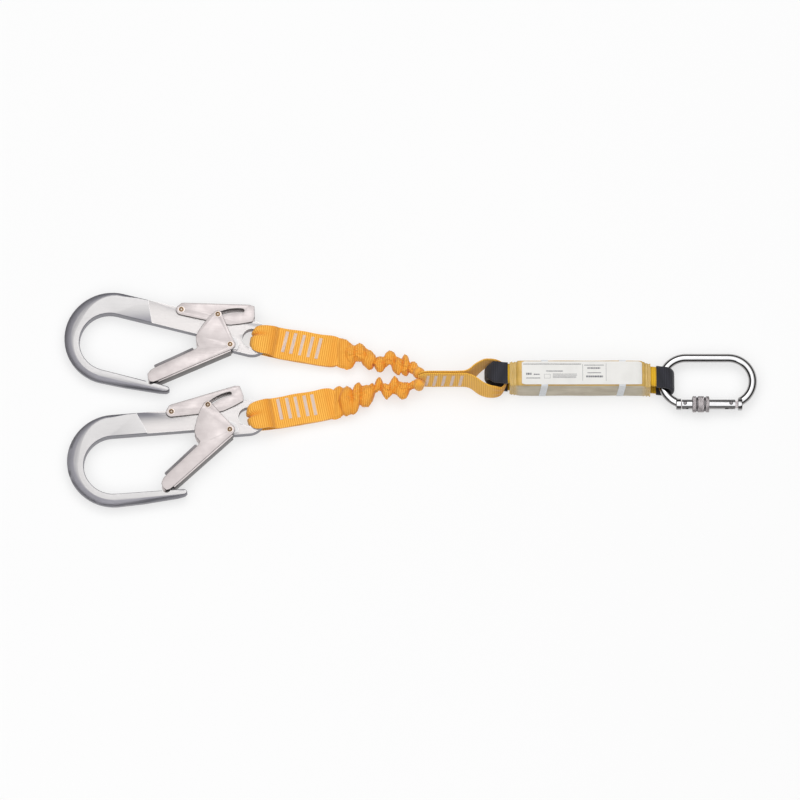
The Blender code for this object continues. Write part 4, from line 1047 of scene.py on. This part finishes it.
def welded_copy(node_name):
    """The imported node's shape as a joined mesh, ready for rounded edges."""
    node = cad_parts[node_name]
    work = bmesh.new()
    work.from_mesh(node.data)
    work.transform(node.matrix_world)
    bmesh.ops.remove_doubles(work, verts=work.verts, dist=WELD * MM)
    bmesh.ops.recalc_face_normals(work, faces=work.faces)
    bmesh.ops.dissolve_limit(work, angle_limit=math.radians(1.0), verts=work.verts, edges=work.edges)
    work.normal_update()
    return work


def bevel_edges(work, chosen, width, segments):
    bmesh.ops.bevel(work, geom=chosen, offset=width * MM, offset_type="OFFSET", segments=segments,
                    profile=0.5, affect="EDGES", clamp_overlap=True)
    work.normal_update()


def bent_edges(work, low, high, test):
    """Edges whose two faces meet at an outward angle between low and high degrees."""
    found = []
    for edge in work.edges:
        if len(edge.link_faces) == 2 and edge.is_convex and test(edge):
            angle = math.degrees(edge.calc_face_angle(0.0))
            if low < angle < high:
                found.append(edge)
    return found


def steady_order(work):
    """Sorts edges and faces by their corners: a bevel leaves them in an order that varies by run."""
    work.verts.index_update()
    count = len(work.verts)

    def key(item):
        first, second, third = (sorted(corner.index for corner in item.verts) + [0])[:3]
        return (first * count + second) * count + third

    for elements in (work.edges, work.faces):
        elements.sort(key=key)
        elements.index_update()


def from_bmesh(name, work, material, sharp=35):
    steady_order(work)
    mesh = bpy.data.meshes.new(name)
    work.to_mesh(mesh)
    work.free()
    return add_object(name, mesh, material, sharp)


def forging(tag):
    """The hook's body with its ridge drawn out into a soft shoulder."""
    work = welded_copy(f"hook_{tag}_body")
    inverse = placed(*HOOKS[tag]).inverted()

    def on_bow(edge):
        return all((inverse @ corner.co).x < BOW_END * MM for corner in edge.verts)

    def level(edge):
        return any(abs(face.normal.z) > 0.999 for face in edge.link_faces)

    ridge = bent_edges(work, 6, 35, lambda edge: on_bow(edge) and level(edge))
    bevel_edges(work, ridge, 3.6, 5)
    bevel_edges(work, bent_edges(work, 40, 120, lambda edge: True), 0.45, 2)
    piece = from_bmesh(f"hook_{tag}_forging", work, FORGED, 25)
    fit(piece, f"hook_{tag}", [f"hook_{tag}_body"])


def folded_plate(tag, node, body, name):
    work = welded_copy(f"hook_{tag}_{node}")
    bevel_edges(work, bent_edges(work, 50, 130, lambda edge: True), 0.22, 2)
    piece = from_bmesh(f"hook_{tag}_{name}", work, PLATED)
    fit(piece, body, [f"hook_{tag}_{node}"])


def lathe(profile, x, y, around=40, hollow=False):
    """A turned solid about an upright axis at x, y, or a hollow ring; the profile is (radius, height)."""
    angle = np.linspace(0, 2 * math.pi, around, endpoint=False)
    rings = np.array([[(x + radius * math.cos(a), y + radius * math.sin(a), height) for a in angle]
                      for radius, height in profile])
    if not hollow:
        return tube(rings, np.zeros_like(rings))
    return rings.reshape(-1, 3), ring_faces(len(profile), around), np.zeros((len(profile) * around, 3))


RIVETS = {"gate_rivet": (0.0, 0.0, 9.2), "lever_rivet": (-62.5, 26.0, 7.4), "lock_pin": (-22.0, 30.2, 9.2)}


def rivets(tag):
    """Copper-coloured rivets: a pale ring round each with its colour a painted highlight, a rolled rim and
    a bright centre, both sides alike.
    """
    for body, names in ((f"hook_{tag}", ("gate_rivet", "lever_rivet")), (f"gate_{tag}", ("lock_pin",))):
        highlight_rings, rims, centres = [], [], []
        for name in names:
            x, y, seat = RIVETS[name]
            for sign in (1, -1):
                highlight_ring = ((3.7, seat - 0.25), (3.7, seat), (3.4, seat + 0.12), (2.0, seat + 0.12),
                          (2.0, seat - 0.25))
                rim = ((2.75, seat + 0.1), (2.75, seat + 0.45), (2.45, seat + 0.78),
                       (1.95, seat + 0.82), (1.6, seat + 0.55), (1.5, seat + 0.1))
                centre = ((1.45, seat + 0.1), (1.35, seat + 0.5), (1.0, seat + 0.72),
                          (0.5, seat + 0.8), (0.1, seat + 0.82))
                for group, profile, hollow in ((highlight_rings, highlight_ring, True), (rims, rim, True),
                                               (centres, centre, False)):
                    group.append(lathe([(r, sign * z) for r, z in profile], x, y, hollow=hollow))
            shank = ((1.75, -seat - 0.1), (1.75, seat + 0.1))
            rims.append(lathe(shank, x, y))
        place = placed(*HOOKS[tag])
        for suffix, group, material in (("highlight_rings", highlight_rings, RIVET_RING_HIGHLIGHT), ("rivets", rims, BRASS),
                                        ("rivet_centres", centres, BRIGHT)):
            piece = build(f"{body}_{suffix}", group, material, place, sharp=40)
            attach(piece, body)
            if suffix == "rivets":
                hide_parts(*[f"hook_{tag}_{name}" for name in names])


def gate_lips(tag):
    """The folded lips along the gate's inner edge, dark against the cheeks with painted shade."""
    start, end = np.array((-73.6, -46.4)), np.array((-37.2, -16.0))
    along = (end - start) / np.linalg.norm(end - start)
    out = np.array((-along[1], along[0]))
    parts = []
    for sign in (1, -1):
        corners = [start + out * -0.6, start + out * 2.1, start + along * 1.0 + out * 2.9,
                   end + along * -0.6 + out * 2.9, end + out * 2.2, end + out * -0.6]
        parts.append(prism(corners, sign * 8.35, sign * 7.55))
    lips = build(f"hook_{tag}_gate_lips", parts, SHADE_STEEL, placed(*HOOKS[tag]), sharp=30)
    fit(lips, f"gate_{tag}")


for hook in "ab":
    forging(hook)
    folded_plate(hook, "gate", f"gate_{hook}", "gate_shell")
    folded_plate(hook, "lever", f"lever_{hook}", "lever_shell")
    rivets(hook)
    gate_lips(hook)

# ---------------------------------------------------------------- carabiner
def on_gate_axis(parts):
    """Turns lathe parts from the upright axis onto the gate's axis."""
    turned = []
    for points, faces, cloth in parts:
        moved = np.stack([points[:, 2], GATE_Y + points[:, 1], CARABINER_Z - points[:, 0]], axis=1)
        turned.append((moved, faces, cloth))
    return turned


def knurled_sleeve():
    """The locking sleeve: three knurled rings with deep grooves between them."""
    around, outer, groove, bore, neck, end = 120, 8.85, 7.75, 7.3, 5.75, 18.7
    stations = [(0.0, groove - 0.2, 0), (0.25, outer - 0.5, 0), (0.7, outer, 1), (3.9, outer, 1),
                (4.3, outer - 0.5, 0), (4.5, groove, 0), (5.9, groove, 0), (6.1, outer - 0.5, 0),
                (6.5, outer, 1), (12.5, outer, 1), (12.8, outer - 0.5, 0), (13.0, groove, 0),
                (14.7, groove, 0), (14.9, outer - 0.5, 0), (15.3, outer, 1), (18.0, outer, 1),
                (18.5, outer - 0.5, 0), (end, groove - 0.2, 0)]
    rows = []
    for (x0, r0, k0), (x1, r1, k1) in zip(stations, stations[1:]):
        steps = max(1, int((x1 - x0) / 0.3)) if k0 and k1 else 1
        rows += [(x0 + (x1 - x0) * i / steps, r0 + (r1 - r0) * i / steps, min(k0, k1) if i else k0)
                 for i in range(steps)]
    rows.append(stations[-1])
    rows += [(end, neck, 0), (13.0, neck, 0), (13.0, bore, 0), (0.0, bore, 0)]
    angle = np.linspace(0, 2 * math.pi, around, endpoint=False)
    rings = []
    for x, radius, knurl in rows:
        cut = 0.16 * knurl * (np.cos(angle * 30 + x * 2.6) + np.cos(angle * 30 - x * 2.6) - 1.0)
        rings.append(np.stack([np.full(around, SLEEVE_START + x), GATE_Y + (radius + cut) * np.cos(angle),
                               CARABINER_Z + (radius + cut) * np.sin(angle)], axis=1))
    points = np.array(rings).reshape(-1, 3)
    part = (points, ring_faces(len(rows), around), np.zeros_like(points))
    sleeve = build("knurled_sleeve", [part], TURNED, sharp=35)
    fit(sleeve, "screw_sleeve", ["carabiner_sleeve"])


def oval_bar():
    """The carabiner's bar with its nose and hinge ends, turned smooth."""
    half_length, half_height, radius, around = 50.0, 26.6, 4.7, 40
    centre_x, centre_y = 140.2, -0.8
    left, right = centre_x - half_length + half_height, centre_x + half_length - half_height
    line = arc(left, centre_y, half_height, 248.4, 90, 44)
    line += arc(right, centre_y, half_height, 90, -62.2, 44)
    line = np.array(line)
    tangent = np.gradient(line, axis=0)
    tangent /= np.linalg.norm(tangent, axis=1)[:, None]
    normal = np.stack([-tangent[:, 1], tangent[:, 0]], axis=1)
    angle = np.linspace(0, 2 * math.pi, around, endpoint=False)
    rings = []
    for (x, y), (nx, ny) in zip(line, normal):
        rings.append(np.stack([x + radius * np.cos(angle) * nx, y + radius * np.cos(angle) * ny,
                               CARABINER_Z + radius * np.sin(angle)], axis=1))
    rings = np.array(rings)
    parts = [tube(rings, np.zeros_like(rings))]
    nose = [(4.9, 105.5), (5.7, 105.7), (6.15, 106.1), (6.3, 106.6), (6.3, 110.8), (5.9, 111.2)]
    hinge = [(6.3, 173.4), (6.8, 173.9), (6.8, 177.6), (6.4, 178.2), (5.4, 178.4)]
    for profile in (nose, hinge):
        parts += on_gate_axis([lathe(profile, 0.0, 0.0)])
    bar = build("carabiner_bar", parts, CHROME, sharp=40)
    tongues = []
    for root, tip in ((109.0, 118.0), (175.0, 162.0)):
        neck = tip - math.copysign(1.5, tip - root)
        outline = [(root, -4.0), (neck, -4.0), (tip, -2.6), (tip, 2.6), (neck, 4.0), (root, 4.0)]
        if tip < root:
            outline = outline[::-1]
        outline = [(x, GATE_Y + y) for x, y in outline]
        tongues.append(prism(outline, CARABINER_Z + 1.65, CARABINER_Z - 1.65))
    tongue = build("carabiner_tongues", tongues, TURNED, sharp=30)
    fit(bar, "carabiner", ["carabiner_body"])
    fit(tongue, "carabiner")


def sleeve_grooves():
    """Floors between the knurled rings, dark with painted shade."""
    parts = []
    for low, high in SLEEVE_GROOVES:
        start, end = SLEEVE_START + low, SLEEVE_START + high
        profile = ((7.85, start), (7.85, end), (7.6, end), (7.6, start))
        parts += on_gate_axis([lathe(profile, 0.0, 0.0, 60, hollow=True)])
    grooves = build("sleeve_grooves", parts, SHADE_STEEL, sharp=30)
    fit(grooves, "screw_sleeve")


def barrel_rivets():
    """Riveted ends of the latch and hinge pins, on both sides of the gate."""
    for name, x, body in (("latch", LATCH_X, "carabiner_gate_arm"), ("hinge", HINGE_X, "carabiner")):
        rims, heads = [], []
        for sign in (1, -1):
            rim = ((2.1, 4.9), (2.1, 5.5), (1.8, 5.65), (1.3, 5.5), (1.2, 4.9))
            head = ((1.15, 4.9), (1.1, 5.6), (0.8, 5.85), (0.1, 5.95))
            for group, profile, hollow in ((rims, rim, True), (heads, head, False)):
                heights = [(radius, CARABINER_Z + sign * height) for radius, height in profile]
                group.append(lathe(heights, x, GATE_Y, 28, hollow))
        # The rims are dark with painted shade.
        for suffix, group, material in (("rivet_rims", rims, SHADE_STEEL), ("rivet_heads", heads, TURNED)):
            piece = build(f"{name}_{suffix}", group, material, sharp=40)
            fit(piece, body)


knurled_sleeve()
sleeve_grooves()
oval_bar()
barrel_rivets()

# ---------------------------------------------------------------- floor, light, camera
CAMERA_TARGET = Vector((-0.198, -0.022, 0.010))
CAMERA_DISTANCE = 9.0
CAMERA_ELEVATION = 73.0
FRAME_WIDTH = 0.880


def floor():
    low = min(corner[2] for corner in CAD_BOX) - 0.0004
    mesh = bpy.data.meshes.new("floor")
    size = 30.0
    mesh.from_pydata([(-size, -size, low), (size, -size, low), (size, size, low), (-size, size, low)],
                     [], [(0, 1, 2, 3)])
    graph = Graph("pale_floor")
    cloud = graph.noise(3.0, 2.0)
    colour = graph.mix(cloud, (0.34, 0.34, 0.34), (0.33, 0.33, 0.33))
    mesh.materials.append(graph.finish(Base_Color=colour, Roughness=0.9, Specular_IOR_Level=0.0,
                                       Emission_Color=(1.0, 1.0, 1.0), Emission_Strength=0.60))
    piece = bpy.data.objects.new("floor", mesh)
    bpy.context.scene.collection.objects.link(piece)


def area_light(name, place, target, size, power):
    light = bpy.data.lights.new(name, "AREA")
    light.shape = "DISK"
    light.size = size
    light.energy = power
    holder = bpy.data.objects.new(name, light)
    holder.location = place
    holder.rotation_euler = (Vector(target) - Vector(place)).to_track_quat("-Z", "Y").to_euler()
    bpy.context.scene.collection.objects.link(holder)


def studio():
    """A bright even dome with a darker band low down, which draws the stripes in polished steel."""
    world = bpy.data.worlds.new("studio")
    bpy.context.scene.world = world
    world.use_nodes = True
    tree = world.node_tree
    where = tree.nodes.new("ShaderNodeTexCoord")
    split = tree.nodes.new("ShaderNodeSeparateXYZ")
    ramp = tree.nodes.new("ShaderNodeValToRGB")
    tree.links.new(where.outputs["Generated"], split.inputs[0])
    tree.links.new(split.outputs[2], ramp.inputs[0])
    stops = ((0.0, 0.5), (0.06, 0.35), (0.12, 0.08), (0.55, 0.10), (0.70, 1.55), (1.0, 1.7))
    elements = ramp.color_ramp.elements
    elements[0].position, elements[0].color = stops[0][0], (stops[0][1],) * 3 + (1.0,)
    elements[1].position, elements[1].color = stops[-1][0], (stops[-1][1],) * 3 + (1.0,)
    for place, value in stops[1:-1]:
        elements.new(place).color = (value,) * 3 + (1.0,)
    background = tree.nodes["Background"]
    tree.links.new(ramp.outputs[0], background.inputs[0])
    background.inputs[1].default_value = 1.0
    area_light("overhead", (-0.2, 0.8, 1.8), (-0.2, 0.0, 0.0), 0.9, 3.5)
    area_light("front", (-0.9, -1.3, 1.1), (-0.2, 0.0, 0.0), 0.8, 2.0)


def camera():
    lens = bpy.data.cameras.new("camera")
    lens.sensor_width = 36.0
    lens.lens = 36.0 * CAMERA_DISTANCE / FRAME_WIDTH
    lens.clip_start = 0.01
    holder = bpy.data.objects.new("camera", lens)
    tilt = math.radians(CAMERA_ELEVATION)
    offset = Vector((0.0, -math.cos(tilt), math.sin(tilt))) * CAMERA_DISTANCE
    holder.location = CAMERA_TARGET + offset
    holder.rotation_euler = (-offset).to_track_quat("-Z", "Y").to_euler()
    bpy.context.scene.collection.objects.link(holder)
    bpy.context.scene.camera = holder


floor()
studio()
camera()
bpy.context.scene.view_settings.view_transform = "Standard"
